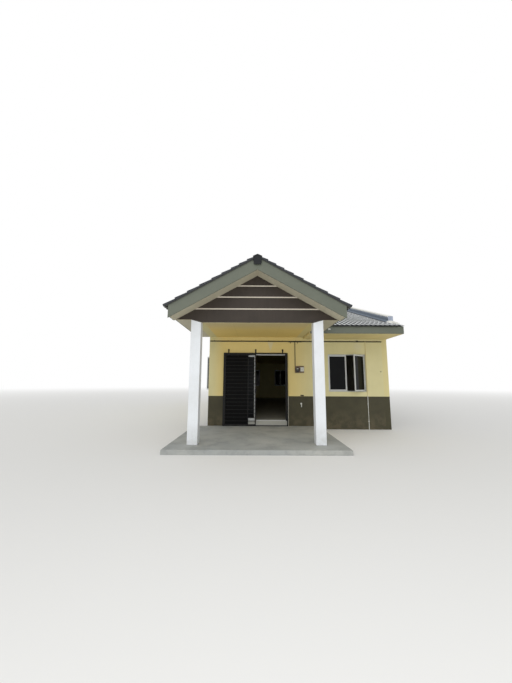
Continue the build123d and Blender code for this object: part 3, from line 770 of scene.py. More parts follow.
# Ridge caps: each laps over the one behind it, on a bed of mortar
ridgeCaps = {"half": 0.105, "crown": 0.02, "edge": 0.032, "pitch": 0.33, "lap": 0.045, "thick": 0.012,
             "lip": 0.028, "round": 1.35, "sink": 0.12, "foot": 0.004, "porchEnd": 2.17}


def tileLift(along, crest, s, lines):
    # Height of the tiles over their plane, by the formula of slopeSheet
    return -tiles["depth"] * (1 - rollWave(along, crest)) - tiles["lap"] * (courseAt(s, lines) % 1)


def capOutline(slope, scale):
    # Across a cap: z = edge + (crown - edge) (1 - q^round) over two upright edges, and back under it
    q = np.array([-1, -1, -0.86, -0.62, -0.36, -0.14, 0, 0.14, 0.36, 0.62, 0.86, 1, 1])
    edge = ridgeCaps["edge"] - ridgeCaps["half"] * slope
    height = edge + (ridgeCaps["crown"] - edge) * (1 - np.abs(q) ** ridgeCaps["round"])
    foot = -ridgeCaps["half"] * slope - ridgeCaps["foot"]
    height[[0, -1]] = foot
    across = ridgeCaps["half"] * q * scale
    height = np.where(height > foot, height - (1 - scale) * ridgeCaps["sink"], foot)
    thick = ridgeCaps["thick"]
    within = (np.abs(across) - thick).clip(0) * np.sign(across)
    under = np.stack([within, np.where(height > foot, height - thick, foot)], -1)
    return np.concatenate([np.stack([across, height], -1), under[::-1]])


def capRun(start, end, slope, place):
    # Caps from the open end inwards: a lip, then a body that narrows under the next cap
    count = int(round((end - start) / ridgeCaps["pitch"]))
    step = (end - start) / count
    parts = []
    for index in range(count):
        first = start + index * step
        last = min(first + step + ridgeCaps["lap"], end)
        body = first + ridgeCaps["lip"]
        stations = [(first, 0.99), (first + 0.003, 1.0), (body, 1.0), (body + 0.005, 0.955), (last, 0.9)]
        sections = [place(*capOutline(slope, scale).T, along) for along, scale in stations]
        parts.append(loft(np.stack(sections)))
    return joined(parts)


def bedRun(start, end, slope, lines, crest, place):
    # Mortar under both edges of the caps: its toe follows the rolls and wavers by a product of sines
    along = np.arange(start, end, tiles["roll"] / 8)
    half = ridgeCaps["half"]
    parts = []
    for side in (-1, 1):
        toe = half + 0.012 + 0.007 * np.sin(along * 23 + side) * np.sin(along * 61)
        s = lines[-1] - toe * np.hypot(1, slope)
        tile = -toe * slope + tileLift(along, crest, s, lines) - 0.002
        top = np.full_like(along, -half * slope + 0.003)
        deep = np.full_like(along, -(half - 0.03) * slope - 0.045)
        across = np.stack([toe, toe - 0.006, np.full_like(toe, half - 0.004), np.full_like(toe, half - 0.035),
                           np.full_like(toe, half - 0.035)], 1) * side
        level = np.stack([tile, np.minimum(tile + 0.012, top), top, top, deep], 1)
        parts.append(loft(np.stack(place(across, level, along[:, None]).reshape(len(along), 5, 3))))
    return joined(parts)


def porchRidgePlace(across, level, along):
    # A point beside the porch ridge, its level counted from the ridge
    across, level, along = np.broadcast_arrays(across, porchRidge + level, along)
    return np.stack([across, along, level], -1)


def mainRidgePlace(across, level, along):
    # The same beside the main ridge
    across, level, along = np.broadcast_arrays(across, mainRidge + level, along)
    return np.stack([along, ridgeY + across, level], -1)


def lump(centre, size, height, slope=(0.0, 0.0), seed=0.0, sunk=0.03, upright=False):
    # A pat of mortar: rings of an uneven circle, z = height sqrt(1 - r^2) over a sloping base;
    # upright ones stand out of a wall instead, along -Y
    turn = np.linspace(0, 2 * np.pi, 28, endpoint=False)
    reach = 1 + 0.13 * np.sin(3 * turn + seed) + 0.08 * np.sin(5 * turn + 2.1 * seed)
    rings = np.array([(0.05, -1), (1, -1), (1, 0), (0.93, 0.36), (0.8, 0.6), (0.6, 0.8), (0.35, 0.94),
                      (0.08, 1)])
    r = rings[:, :1] * reach
    x = size[0] * r * np.cos(turn)
    y = size[1] * r * np.sin(turn)
    rough = 0.1 * np.sin(7 * turn + 3 * seed) * np.sin(9 * rings[:, :1])
    z = np.where(rings[:, 1:] < 0, -sunk, height * (rings[:, 1:] + rough * (rings[:, 1:] > 0)))
    z = z + slope[0] * x + slope[1] * y
    if upright:
        y, z = -z, y
    return loft(np.stack([centre[0] + x, centre[1] + y, centre[2] + z], -1))


def layRidge(name, caps, bed, slope, lines, crest, place):
    # One ridge: its caps and the mortar under them, each from a start to an end
    laid = makePiece(name + "Caps", *capRun(*caps, slope, place), capFinish, "roof_tile")
    makePiece(name + "Bed", *bedRun(*bed, slope, lines, crest, place), mortar, "roof_tile")
    return laid


capStart, capEnd = roof["porchFront"] + 0.002, ridgeCaps["porchEnd"]
porchCaps = layRidge("porchRidge", (capStart, capEnd), (capStart + 0.02, capEnd - 0.14),
                     porchSlope, porchCourses, porchCrest, porchRidgePlace)
mainCaps = layRidge("mainRidge", (roof["left"], roof["right"] - 0.004),
                    (roof["left"] + 0.01, roof["right"] - 0.01),
                    mainSlope, mainCourses, mainCrest, mainRidgePlace)


# The plate that closes the porch ridge: a five-sided rim round a sunk face
endCap = {"drop": 0.225, "foot": 0.082, "front": -3.245, "back": -3.218, "sunk": 0.008}


def endCapShape():
    # The same five corners drawn in towards their middle, ring by ring
    half, slope = ridgeCaps["half"], porchSlope
    edge = ridgeCaps["edge"] - half * slope
    corners = np.array([(-endCap["foot"], -endCap["drop"]), (endCap["foot"], -endCap["drop"]), (half, edge),
                        (0, ridgeCaps["crown"]), (-half, edge)])
    middle = corners.mean(0)
    shares = 1 - np.array([0.03, 0.0, 0.0, 0.03, 0.17, 0.22])
    back, front = endCap["back"], endCap["front"]
    depths = [back, back - 0.003, front + 0.003, front, front, front + endCap["sunk"]]
    rings = [np.column_stack([*(middle + (corners - middle) * share).T, np.full(5, depth)])
             for share, depth in zip(shares, depths)]
    points = np.stack(rings)[..., [0, 2, 1]]
    points[..., 2] += porchRidge
    return loft(points)


endPlate = makePiece("porchRidgeEnd", *endCapShape(), endCapFinish, "roof_tile", bevel=0.002)
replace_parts(porchCaps, "porch_ridge_cap")
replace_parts(endPlate, "porch_ridge_cap")
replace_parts(mainCaps, "main_ridge_cap")
print("ridge caps laid")


# Under the tiles: felt sheets, trays in the valleys and mortar along the verges
roofWork = {"felt": 0.054, "feltThick": 0.002, "sag": 0.003, "rafters": 0.6, "tray": 0.13, "traySunk": 0.047,
            "trayLip": 0.012, "trayThick": 0.0025, "vergeSunk": (0.016, 0.047), "flash": 0.105}


def feltDepth(across):
    # How far the felt lies under the tiles' plane: felt + sag cos, from rafter to rafter
    return (roofWork["felt"] + roofWork["sag"] * np.cos(2 * np.pi * across / roofWork["rafters"]))[..., None]


def feltSheet(along, start, end, place, normal):
    # Straight runs from start to end up the slope
    u, t = np.meshgrid(along, np.linspace(0, 1, 13))
    s = start(u) + t * (end - start(u))
    top = place(u, s) - feltDepth(u) * normal
    return shell(top, top - roofWork["feltThick"] * normal)


def porchFelt(sign):
    # The same for a porch slope, cut by the valley at its inner end
    s, t = np.meshgrid(np.linspace(0.03, porchLength, 25), np.linspace(0, 1, 13))
    y0 = roof["porchFront"] + 0.06
    y = y0 + t * (porchInnerEnd(s, sign) - y0)
    top = porchPoint(y, s, sign) - feltDepth(s) * porchNormal(sign)
    return shell(top, top - roofWork["feltThick"] * porchNormal(sign))


feltColumns = np.linspace(roof["left"] + 0.004, roof["right"] - 0.004, 40)
makePiece("roofFelt", *joined([
    feltSheet(feltColumns, mainStart, mainLength, frontPlace, mainNormal),
    feltSheet(feltColumns, lambda u: 0 * u + 0.03, mainLength, rearPlace, rearNormal),
    porchFelt(-1), porchFelt(1)]), underlay, "roof_tile")


def valleyTray(sign, high, low):
    # A folded strip along the line where the two planes meet, its wings level with each plane
    ends = [np.array([sign * x, valleyY(x), porchRidge - x * porchSlope]) for x in (low, high)]
    run = (ends[1] - ends[0]) / np.linalg.norm(ends[1] - ends[0])
    porchWing = np.cross(run, porchNormal(sign))
    porchWing *= -np.sign(porchWing[1])
    mainWing = np.cross(run, mainNormal)
    mainWing *= np.sign(mainWing[1])
    wide, lip = roofWork["tray"], roofWork["trayLip"]
    upper = [porchWing * wide + porchNormal(sign) * lip, porchWing * wide, porchWing * 0, mainWing * wide,
             mainWing * wide + mainNormal * lip]
    profile = np.array(upper + [point - np.array([0, 0, roofWork["trayThick"]]) for point in upper[::-1]])
    profile[:, 2] -= roofWork["traySunk"]
    return loft(np.stack([ends[0] + profile, ends[1] + profile]))


trays = joined([valleyTray(1, 0.02, 2.05), valleyTray(-1, 0.02, -roof["left"] - 0.02)])
makePiece("valleyTrays", *trays, flashing, "aluminium")


def vergeBed(stations, place, inward, outward):
    # Mortar between the board and the verge tiles: its face wavers by a product of two sines
    near, far = roofWork["vergeSunk"]
    s = np.asarray(stations)[:, None]
    wobble = 0.0025 * np.sin(s * 17) * np.sin(s * 41 + 1)
    out = np.concatenate([inward + 0 * s, outward + wobble, outward - 0.004 + wobble, inward + 0 * s], 1)
    sunk = np.concatenate([near + 0 * s, near + 0 * s, far + wobble, far + 0 * s], 1)
    return loft(place(out, s + 0 * out, sunk))


def porchVergePlace(sign):
    # Points of a porch verge: out from the house's front, s up the slope, sunk below the tiles' plane
    return lambda out, s, sunk: porchPoint(out, s, sign) - sunk[..., None] * porchNormal(sign)


def mainVergePlace(rear):
    # The same along the main roof's left verge, in front or at the rear
    place, normal = (rearPlace, rearNormal) if rear else (frontPlace, mainNormal)
    return lambda out, s, sunk: place(out, s) - sunk[..., None] * normal


# The last tile of each course, along an open edge of the roof
vergeTile = {"rise": 0.026, "fall": 0.002, "skirt": 0.036, "wide": 0.03, "thick": 0.011, "out": 0.036}


def vergeTiles(lines, outer, place, normal, top):
    # A roll and skirt on each course's last tile: its back falls in a line from its lower end up
    parts = []
    for low, high in zip(lines[:-1], lines[1:]):
        s = np.array([low - 0.004, low + 0.004, high])[:, None]
        rise = np.array([vergeTile["rise"] - 0.003, vergeTile["rise"], vergeTile["fall"]])[:, None]
        wide, thick = vergeTile["wide"], vergeTile["thick"]
        across = outer + np.array([[0, 0, thick * 0.35, thick * 1.2, wide, wide, thick, thick]])
        skirt = 0 * rise - vergeTile["skirt"]
        lift = np.concatenate([skirt, rise - 0.007, rise - 0.001, rise, rise - 0.012, rise - 0.024,
                               rise - 0.012, skirt], 1)
        s = np.clip(s, 0.0, top)
        parts.append(loft(place(across + 0 * s, s + 0 * across) + lift[..., None] * normal))
    return parts


capFoot = ridgeCaps["half"] / porchUp[0] - 0.012
outerEdge = roof["porchFront"] - 0.011
porchVerges = [part for sign in (-1, 1) for part in
               vergeTiles(porchCourses, outerEdge, lambda y, s, sign=sign: porchPoint(y, s, sign),
                          porchNormal(sign), porchLength - capFoot)]
makePiece("porchVergeTiles", *joined(porchVerges), vergeFinish, "roof_tile")
sideStart = mainCourses[mainCourses > -roof["mainEave"] / mainUp[1] + 0.02]
sideLines = np.append(-roof["mainEave"] / mainUp[1] + 0.004, sideStart)
mainTop = mainLength - ridgeCaps["half"] / mainUp[1] + 0.012
sideEdge = roof["left"] - vergeTile["out"]
mainVerges = vergeTiles(sideLines, sideEdge, frontPlace, mainNormal, mainTop)
mainVerges += vergeTiles(mainCourses, sideEdge, rearPlace, rearNormal, mainTop)
makePiece("mainVergeTiles", *joined(mainVerges), vergeFinish, "roof_tile")

vergeMortar = {"porchInner": -3.17, "porchOuter": -3.207, "inner": roof["left"] + 0.03,
               "outer": roof["left"] - 0.024}
porchStations = np.linspace(0.02, porchLength - 0.01, 60)
verges = [vergeBed(porchStations, porchVergePlace(sign), vergeMortar["porchInner"], vergeMortar["porchOuter"])
          for sign in (-1, 1)]
verges += [vergeBed(np.linspace(first, mainLength - 0.005, 110), mainVergePlace(rear), vergeMortar["inner"],
                    vergeMortar["outer"])
           for first, rear in ((-roof["mainEave"] / mainUp[1] + 0.01, False), (0.02, True))]
makePiece("vergeMortar", *joined(verges), darkMortar, "roof_tile")


def finFlashing(first, place, normal):
    # A leg dressed up the fin and a foot on the tiles beside it, which lifts and falls in a sine
    s = np.arange(first, mainLength - 0.02, 0.04)[:, None]
    face = roof["right"]
    x = face - np.array([[0.105, 0.06, 0.02, 0.0035, 0.0035, -0.001, -0.001, 0.06]])
    rise = np.array([[0.001, 0.006, 0.012, 0.03, roofWork["flash"], roofWork["flash"], -0.02, -0.01]])
    rise = rise + 0.0015 * np.sin(s * 29) * (x < face - 0.01)
    return loft(place(x + 0 * s, s + 0 * x) + rise[..., None] * normal)


makePiece("finFlashing", *joined([finFlashing(finRun + 0.005, frontPlace, mainNormal),
                                  finFlashing(finRun + 0.005, rearPlace, rearNormal)]), flashing, "aluminium")


# The white edge of the fin
coping = {"deep": 0.036, "waver": 0.004, "proud": 0.0085, "before": 0.008}


def finCoping(place):
    # A trowelled white edge under the fin's top: its face stands proud, and its foot wavers by a
    # product of two sines
    s = np.linspace(finRun - coping["before"], mainLength, 180)[:, None]
    low = -coping["deep"] + coping["waver"] * np.sin(s * 13) * np.sin(s * 31 + 1)
    x = roof["right"] + np.array([[0.003, -0.006, -coping["proud"], -coping["proud"], -0.006, 0.003]])
    drop = np.concatenate([low, low, low + 0.004, 0 * s - 0.005, 0 * s - 0.0008, 0 * s - 0.0008], 1)
    points = place(x + 0 * s, s + 0 * x)
    points[..., 2] += roof["finHeight"] + drop
    return loft(points)


makePiece("finCoping", *joined([finCoping(frontPlace), finCoping(rearPlace)]), whiteMortar, "party_paint")

# Pats of white mortar where the fin begins: x, y, lift over the tiles' plane at level, two half widths,
# height and the seed of their outline
patches = {"level": roof["mainLevel"] + (-0.66 - roof["mainEave"]) * mainSlope,
           "pats": [(4.2, -0.63, 0.005, 0.105, 0.085, 0.05, 0.4),
                    (4.16, -0.71, -0.03, 0.07, 0.07, 0.035, 2.2),
                    (4.265, -0.69, -0.018, 0.045, 0.075, 0.04, 4.0),
                    (4.245, -0.82, -0.066, 0.065, 0.09, 0.042, 1.1),
                    (4.272, -0.93, -0.108, 0.04, 0.07, 0.03, 3.1)]}
finPats = [lump((x, y, patches["level"] + lift), (wide, long), height, (0.0, mainSlope), seed)
           for x, y, lift, wide, long, height, seed in patches["pats"]]
makePiece("finMortar", *joined(finPats), whiteMortar, "roof_tile")

# One pat at the foot of the right valley, one on the eave's end under it, one where the left roofs meet
endLevel = roof["mainLevel"] + 0.1 * mainSlope - 0.01
saddle = [lump((2.05, -1.12, endLevel), (0.06, 0.055), 0.04, seed=1.0),
          lump((2.125, -1.135, 3.035), (0.045, 0.024), 0.03, seed=2.6, upright=True),
          lump((-1.53, -0.36, porchRidge + roof["left"] * porchSlope), (0.022, 0.06), 0.02, seed=1.8)]
makePiece("valleyMortar", *joined(saddle), whiteMortar, "roof_tile")


# The eave's end beside the porch
eaveBoard = {"face": 1.5606, "thick": 0.012, "high": 2.9664, "low": 2.9085, "front": -1.1396, "back": -0.0004}


def eaveCloser():
    # The board that shuts the eave's open end under the porch beam: five corners carried along Y
    face, back, high, low = (eaveBoard["face"], eaveBoard["face"] - eaveBoard["thick"], eaveBoard["high"],
                             eaveBoard["low"])
    profile = np.array([(face, high), (back, high), (back, low + 0.0045), (back + 0.004, low), (face, low)])
    return loft([np.column_stack([profile[:, 0], np.full(5, y), profile[:, 1]])
                 for y in (eaveBoard["front"], eaveBoard["back"])])


makePiece("eaveCloser", *eaveCloser(), finishes["soffit_board"], "soffit_board", soften=25)
# The short boards that shut the verge's outer sides, below the fascias
vergeCloser = {"x": (1.9575, 1.976), "y": (-3.1745, -2.7505), "z": (2.9212, 2.99), "edge": 0.003}
closers = [bar3(sorted(sign * x for x in vergeCloser["x"]), vergeCloser["y"], vergeCloser["z"],
                vergeCloser["edge"])
           for sign in (-1, 1)]
makePiece("vergeClosers", *joined(closers), finishes["fascia_paint"], "fascia_paint")
print("roof edges finished")


# The gable's foot: a thin brown edge that follows the wall's lower outline and hangs below it
gableEdge = {"outline": [(-1.955, 2.975), (-1.56, 2.975), (-1.325, 2.908), (1.325, 2.908), (1.56, 2.975),
                         (1.955, 2.975)], "drop": 0.034, "front": -2.7535, "back": -2.736, "spread": 1.76}


def gableFoot():
    # The outline with z lowered by drop; the two ends move out by spread times drop, as the roof does
    outline = np.array(gableEdge["outline"])[:, None]
    level = outline[..., 1] + np.array([[-gableEdge["drop"]] * 2 + [0.004] * 2])
    x = outline[..., 0] + 0 * level
    x[0] -= gableEdge["spread"] * (outline[0, 0, 1] - level[0])
    x[-1] += gableEdge["spread"] * (outline[-1, 0, 1] - level[-1])
    y = np.array([[gableEdge["front"], gableEdge["back"], gableEdge["back"], gableEdge["front"]]])
    return loft(np.stack([x, y + 0 * x, level], -1))


makePiece("gableFoot", *gableFoot(), finishes["gable_paint"], "gable_paint")


# Boards, columns and slabs whose sawn edges are eased: copies of the CAD's own shapes with a bevel
eased = {"column_left": 0.008, "column_right": 0.008, "barge_board_left": 0.004, "barge_board_right": 0.004,
         "main_barge_left": 0.003, "main_fascia_front": 0.003, "main_fascia_rear": 0.003,
         "porch_fascias": 0.003, "gable_strips": 0.002, "porch_floor": 0.008, "door_frame": 0.0012,
         "eave_end_plates": 0.002}


def easedCopy(node, width):
    # The node's faces, merged where they are level, with each sharp edge rounded over by the width
    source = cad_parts[node].data
    points = np.empty(len(source.vertices) * 3)
    source.vertices.foreach_get("co", points)
    first, *others = node.split("_")
    name = first + "".join(part.capitalize() for part in others) + "Eased"
    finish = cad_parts[node].material_slots[0].material
    piece = makePiece(name, points, [face.vertices for face in source.polygons], finish, slotNames[node])
    shape = bmesh.new()
    shape.from_mesh(piece.data)
    bmesh.ops.dissolve_limit(shape, angle_limit=radians(0.5), verts=shape.verts, edges=shape.edges)
    shape.to_mesh(piece.data)
    shape.free()
    edge = piece.modifiers.new("edge", "BEVEL")
    edge.width, edge.segments, edge.limit_method = width, meshing["segments"], "ANGLE"
    edge.angle_limit, edge.harden_normals = radians(20), True
    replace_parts(piece, node)


for nodeName, width in eased.items():
    easedCopy(nodeName, width)
print("edges eased")


# Casement windows: frames and sashes as folded sections carried round with mitred corners
windowFrame = {"bar": 0.026, "setback": 0.04, "depth": 0.06, "sash": 0.042, "sashDepth": 0.03, "bite": 0.006,
               "sashSetback": 0.01, "sill": 1.185, "head": 2.405, "width": 1.232, "grip": 0.42}


def mitred(x, z, section):
    # Each corner of a rectangle, drawn in by the section's first number and set back by its second
    inset, depth = np.asarray(section, float).T
    left, right, low, high = x[0] + inset, x[1] - inset, z[0] + inset, z[1] - inset
    corners = ((left, low), (right, low), (right, high), (left, high))
    return loft([np.stack([cornerX, depth, cornerZ], -1) for cornerX, cornerZ in corners], closed=True)


def sealSection(inset, depth, wide=0.009, slant=0.0006, thick=0.0026):
    # The section of a glass seal for mitred: a slip that slants a little towards the glass
    far = inset + wide
    return [(inset, depth), (far, depth + slant), (far, depth + thick), (inset, depth + thick)]


def turnedAbout(part, pivot, angle):
    # Points swung about an upright line through the pivot
    points, faces = part
    c, s = cos(radians(angle)), sin(radians(angle))
    flat = points[:, :2] @ np.array([[c, s], [-s, c]])
    return np.column_stack([flat[:, 0] + pivot[0], flat[:, 1] + pivot[1], points[:, 2] + pivot[2]]), faces


def sashParts(width, height, hingeRight):
    # Sash, its two glass seals and its handle, from the hinge's foot
    x = (-width, 0) if hingeRight else (0, width)
    bar, depth = windowFrame["sash"], windowFrame["sashDepth"]
    metal = [(0, 0.002), (0.002, 0), (0.028, 0), (0.031, 0.002), (bar - 0.004, 0.0085), (bar, 0.0095),
             (bar, depth - 0.0095), (bar - 0.004, depth - 0.0085), (0.031, depth), (0, depth)]
    seals = [mitred(x, (0, height), sealSection(bar - 0.0035, y, 0.008)) for y in (0.0092, 0.0182)]
    meeting = x[0] + bar / 2 if hingeRight else x[1] - bar / 2
    middle = height * windowFrame["grip"]
    plate = bar3(around(meeting, 0.009), (depth - 0.001, depth + 0.006), around(middle, 0.05))
    neck = rod((meeting, depth + 0.004, middle), (meeting, depth + 0.026, middle), 0.006)
    lever = bar3(around(meeting, 0.007), (depth + 0.019, depth + 0.027), (middle - 0.075, middle + 0.014))
    return mitred(x, (0, height), metal), joined(seals), joined([plate, neck, lever])


def windowParts(width, leftAngle, rightAngle):
    # The whole window from its lower left corner: frame, two sashes, seals, handles and stays
    bar, back = windowFrame["bar"], windowFrame["setback"]
    height = windowFrame["head"] - windowFrame["sill"]
    section = [(0, back), (0.016, back), (0.0185, back + 0.002), (0.0185, back + 0.043), (bar, back + 0.045),
               (bar, back + windowFrame["depth"]), (0, back + windowFrame["depth"])]
    metal, seals, handles = [mitred((0, width), (0, height), section)], [], []
    leaf = (width - 2 * bar) / 2 + windowFrame["bite"]
    leafHeight = height - 2 * bar
    face = back + windowFrame["sashSetback"]
    for hinge, angle, right in ((bar - windowFrame["bite"], leftAngle, False),
                                (width - bar + windowFrame["bite"], rightAngle, True)):
        turn = angle if right else -angle
        for group, part in zip((metal, seals, handles), sashParts(leaf, leafHeight, right)):
            group.append(turnedAbout(part, (hinge, face, bar), turn))
        inward = -1 if right else 1
        if angle:  # two stays hold an open sash: each from the frame to a point of the turned sash
            c, s = cos(radians(turn)), sin(radians(turn))
            along, deep = inward * 0.26, 0.015
            for level in (bar + 0.012, bar + leafHeight - 0.014):
                end = (hinge + along * c - deep * s, face + along * s + deep * c, level)
                handles.append(rod((hinge + inward * 0.3, face + 0.012, level), end, 0.0045, 8))
        for share in (0.18, 0.5, 0.82):  # hinge barrels
            low, high = around(bar + leafHeight * share, 0.035)
            metal.append(rod((hinge, face + 0.002, low), (hinge, face + 0.002, high), 0.006))
    return joined(metal), joined(seals), joined(handles)


def placeWindow(width, angle, corner, facing):
    # A window whose right sash is open by the angle, turned to face its way at its lower left corner
    foot = (*corner, windowFrame["sill"])
    return [turnedAbout(part, foot, facing) for part in windowParts(width, 0, angle)]


# Where the windows stand: x of the front one, y and angle of the side ones, x of the rear ones' ends
windowPlaces = {"front": 2.356, "ajar": 40, "side": ((0.37, 27), (5.4, 0), (9.8, 0)),
                "rear": ((-0.9, 0.3), (1.5, 2.4))}
wide = windowFrame["width"]
windows = {"front": [placeWindow(wide, windowPlaces["ajar"], (windowPlaces["front"], 0), 0)],
           "side": [placeWindow(wide, angle, (roof["left"], start + wide), -90)
                    for start, angle in windowPlaces["side"]],
           "rear": [placeWindow(right - left, 0, (right, roof["depth"]), 180)
                    for left, right in windowPlaces["rear"]]}
aluminium, rubber = finishes["aluminium"], finishes["cable_sheath"]
for name, node in (("front", "front_window"), ("side", "side_windows"), ("rear", "rear_windows")):
    frames = joined([parts[0] for parts in windows[name]])
    piece = "frontWindowFrame" if name == "front" else name + "WindowFrames"
    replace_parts(makePiece(piece, *frames, aluminium, "aluminium", soften=30), node)
everyWindow = [parts for group in windows.values() for parts in group]
makePiece("windowSeals", *joined([parts[1] for parts in everyWindow]), rubber, "cable_sheath")
windowHandles = joined([parts[2] for parts in everyWindow])
makePiece("windowHandles", *windowHandles, handleFinish, "aluminium", bevel=0.001)
print("windows framed")


# Sliding door: the leaf as a folded section with seals, a flush pull and a latch
doorLeaf = {"x": (-1.005, -0.02), "z": (0.2853, 2.36), "y": 0.075, "depth": 0.03, "stile": 0.055,
            "track": 0.2805, "roller": 0.15, "pull": (1.16, 1.34)}
fixedLeaf = {"x": (-1.01, -0.02), "z": (0.28, 2.365), "y": 0.035, "stile": 0.055}


def leafShape(x, z, y, depth, stile):
    # The leaf's frame: flat faces that step back to the glass
    section = [(0, 0.002), (0.002, 0), (stile - 0.012, 0), (stile - 0.009, 0.002), (stile - 0.003, 0.009),
               (stile, 0.0105), (stile, depth - 0.0105), (stile - 0.003, depth - 0.009),
               (stile - 0.009, depth), (0, depth)]
    return mitred(x, z, [(inset, y + back) for inset, back in section])


def leafSeals(leaf):
    # A seal on each face of the glass, along the inner edge of the leaf's stiles
    inset = leaf["stile"] - 0.003
    return joined([mitred(leaf["x"], leaf["z"], sealSection(inset, leaf["y"] + back, thick=0.003))
                   for back in (0.0095, 0.0175)])


leafX, leafY, leafZ = doorLeaf["x"], doorLeaf["y"], doorLeaf["z"]
rollers = [bar3(around(x, 0.03), (leafY + 0.009, leafY + 0.021), (doorLeaf["track"], leafZ[0] + 0.006))
           for x in (leafX[0] + doorLeaf["roller"], leafX[1] - doorLeaf["roller"])]
leafBody = joined([leafShape(leafX, leafZ, leafY, doorLeaf["depth"], doorLeaf["stile"]), *rollers])
leafFrame = makePiece("doorLeafFrame", *leafBody, aluminium, "aluminium", body="sliding_door", soften=30)
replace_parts(leafFrame, "sliding_leaf")
makePiece("doorLeafSeals", *leafSeals(doorLeaf), rubber, "cable_sheath", body="sliding_door")
pullX, pullY = leafX[0] + doorLeaf["stile"] / 2, leafY + doorLeaf["depth"]
pull = [mitred(around(pullX, 0.014), doorLeaf["pull"],
               [(0, pullY - 0.001), (0.001, pullY + 0.003), (0.005, pullY + 0.003), (0.006, pullY - 0.001)]),
        bar3(around(pullX, 0.005), (pullY - 0.001, pullY + 0.004), (1.22, 1.28))]
makePiece("doorLeafPull", *joined(pull), handleFinish, "aluminium", body="sliding_door")
makePiece("fixedLeafSeals", *leafSeals(fixedLeaf), rubber, "cable_sheath")
print("door finished")


# Steel grille: ribbed screens behind the rods and a lock on the meeting stile
grille = {"leaf": (-1.0045, -0.2845), "leafY": -0.0372, "fixed": (-1.0095, -0.2895), "fixedY": -0.0015,
          "rib": 0.024, "deep": 0.0035, "sheet": 0.0012, "low": 0.152, "high": 2.358,
          "lock": (-0.035, -0.0595, 1.2)}


def screenShape(x, y):
    # Up-and-down ribs: depth = deep (0.5 + 0.5 cos) across the sheet, straight from foot to head
    across = np.linspace(x[0], x[1], int((x[1] - x[0]) / grille["rib"] * 6) + 1)
    depth = grille["deep"] * (0.5 + 0.5 * np.cos(2 * np.pi * (across - x[0]) / grille["rib"]))
    rows = np.linspace(grille["low"], grille["high"], 4)[:, None]
    face = np.stack([across + 0 * rows, y - depth + 0 * rows, rows + 0 * across], -1)
    return shell(face, face + np.array([0, grille["sheet"], 0]))


def lockShape(x, y, z):
    # Lock case, its cylinder and a turned knob on the street side
    case = bar3(around(x, 0.024), (y - 0.012, y), around(z, 0.075), 0.004)
    collar = [(0.003, 0), (0.012, 0), (0.012, 0.004), (0.01, 0.006), (0.002, 0.006)]
    knob = [(0.003, 0), (0.007, 0), (0.007, 0.006), (0.014, 0.01), (0.015, 0.016), (0.011, 0.02),
            (0.002, 0.021)]
    return joined([case, turnedOut((x, y - 0.011, z - 0.03), collar, 16),
                   turnedOut((x, y - 0.011, z + 0.03), knob, 20)])


blackSteel = finishes["black_steel"]
leafScreen, fixedScreen = (screenShape(grille[key], grille[key + "Y"]) for key in ("leaf", "fixed"))
makePiece("grilleLeafScreen", *leafScreen, screenFinish, "black_steel", body="sliding_grille")
makePiece("grilleFixedScreen", *fixedScreen, screenFinish, "black_steel")
makePiece("grilleLock", *lockShape(*grille["lock"]), blackSteel, "black_steel", body="sliding_grille")

# The three hangers of the grille's bar: bolts, wheel and strap; profiles are radius and depth
hangers = {"x": (-0.92, -0.03, 0.86), "boltZ": (2.468, 2.522), "boltY": -0.0055,
           "wheelZ": 2.531, "wheelY": -0.0065,
           "bolt": [(0.002, 0), (0.008, 0), (0.008, 0.004), (0.006, 0.0055), (0.001, 0.006)],
           "wheel": [(0.003, 0), (0.026, 0), (0.029, 0.003), (0.023, 0.008), (0.023, 0.013), (0.029, 0.018),
                     (0.026, 0.021), (0.009, 0.021), (0.008, 0.026), (0.002, 0.027)],
           "strapHalf": 0.021, "strapY": (-0.0085, -0.0062), "strapZ": (2.4362, 2.5), "strapEdge": 0.0008}
boltHeads = [turnedOut((x, hangers["boltY"], z), hangers["bolt"], 6)
             for x in hangers["x"] for z in hangers["boltZ"]]
makePiece("hangerBolts", *joined(boltHeads), blackSteel, "black_steel")
wheels = [turnedOut((x, hangers["wheelY"], hangers["wheelZ"]), hangers["wheel"], 28) for x in hangers["x"]]
makePiece("hangerWheels", *joined(wheels), blackSteel, "black_steel", soften=30)
straps = [bar3(around(x, hangers["strapHalf"]), hangers["strapY"], hangers["strapZ"], hangers["strapEdge"])
          for x in hangers["x"]]
makePiece("hangerStraps", *joined(straps), blackSteel, "black_steel")
print("grille finished")


# Rear door: six sunk panels on both faces, with a lever handle and hinges
rearDoor = {"x": (2.95, 3.85), "z": (0.255, 2.405), "y": (13.18, 13.22), "sunk": 0.007,
            "leverX": 3.02, "leverZ": 1.25, "hingeX": 3.842, "hingeZ": (0.5, 1.33, 2.16),
            "panels": ((0.11, 0.41, 0.16, 0.72), (0.49, 0.79, 0.16, 0.72), (0.11, 0.41, 0.82, 1.42),
                       (0.49, 0.79, 0.82, 1.42), (0.11, 0.41, 1.52, 1.99), (0.49, 0.79, 1.52, 1.99))}


def panelLines(whole, low, high):
    # Even lines over the whole length, and finer ones inside the edges of each panel
    inside = np.array([0, 0.006, 0.014, 0.04, 0.055])
    near, far = np.array(low)[:, None] + inside, np.array(high)[:, None] - inside
    return np.unique(np.concatenate([np.linspace(0, whole, 31), near.ravel(), far.ravel()]).round(5))


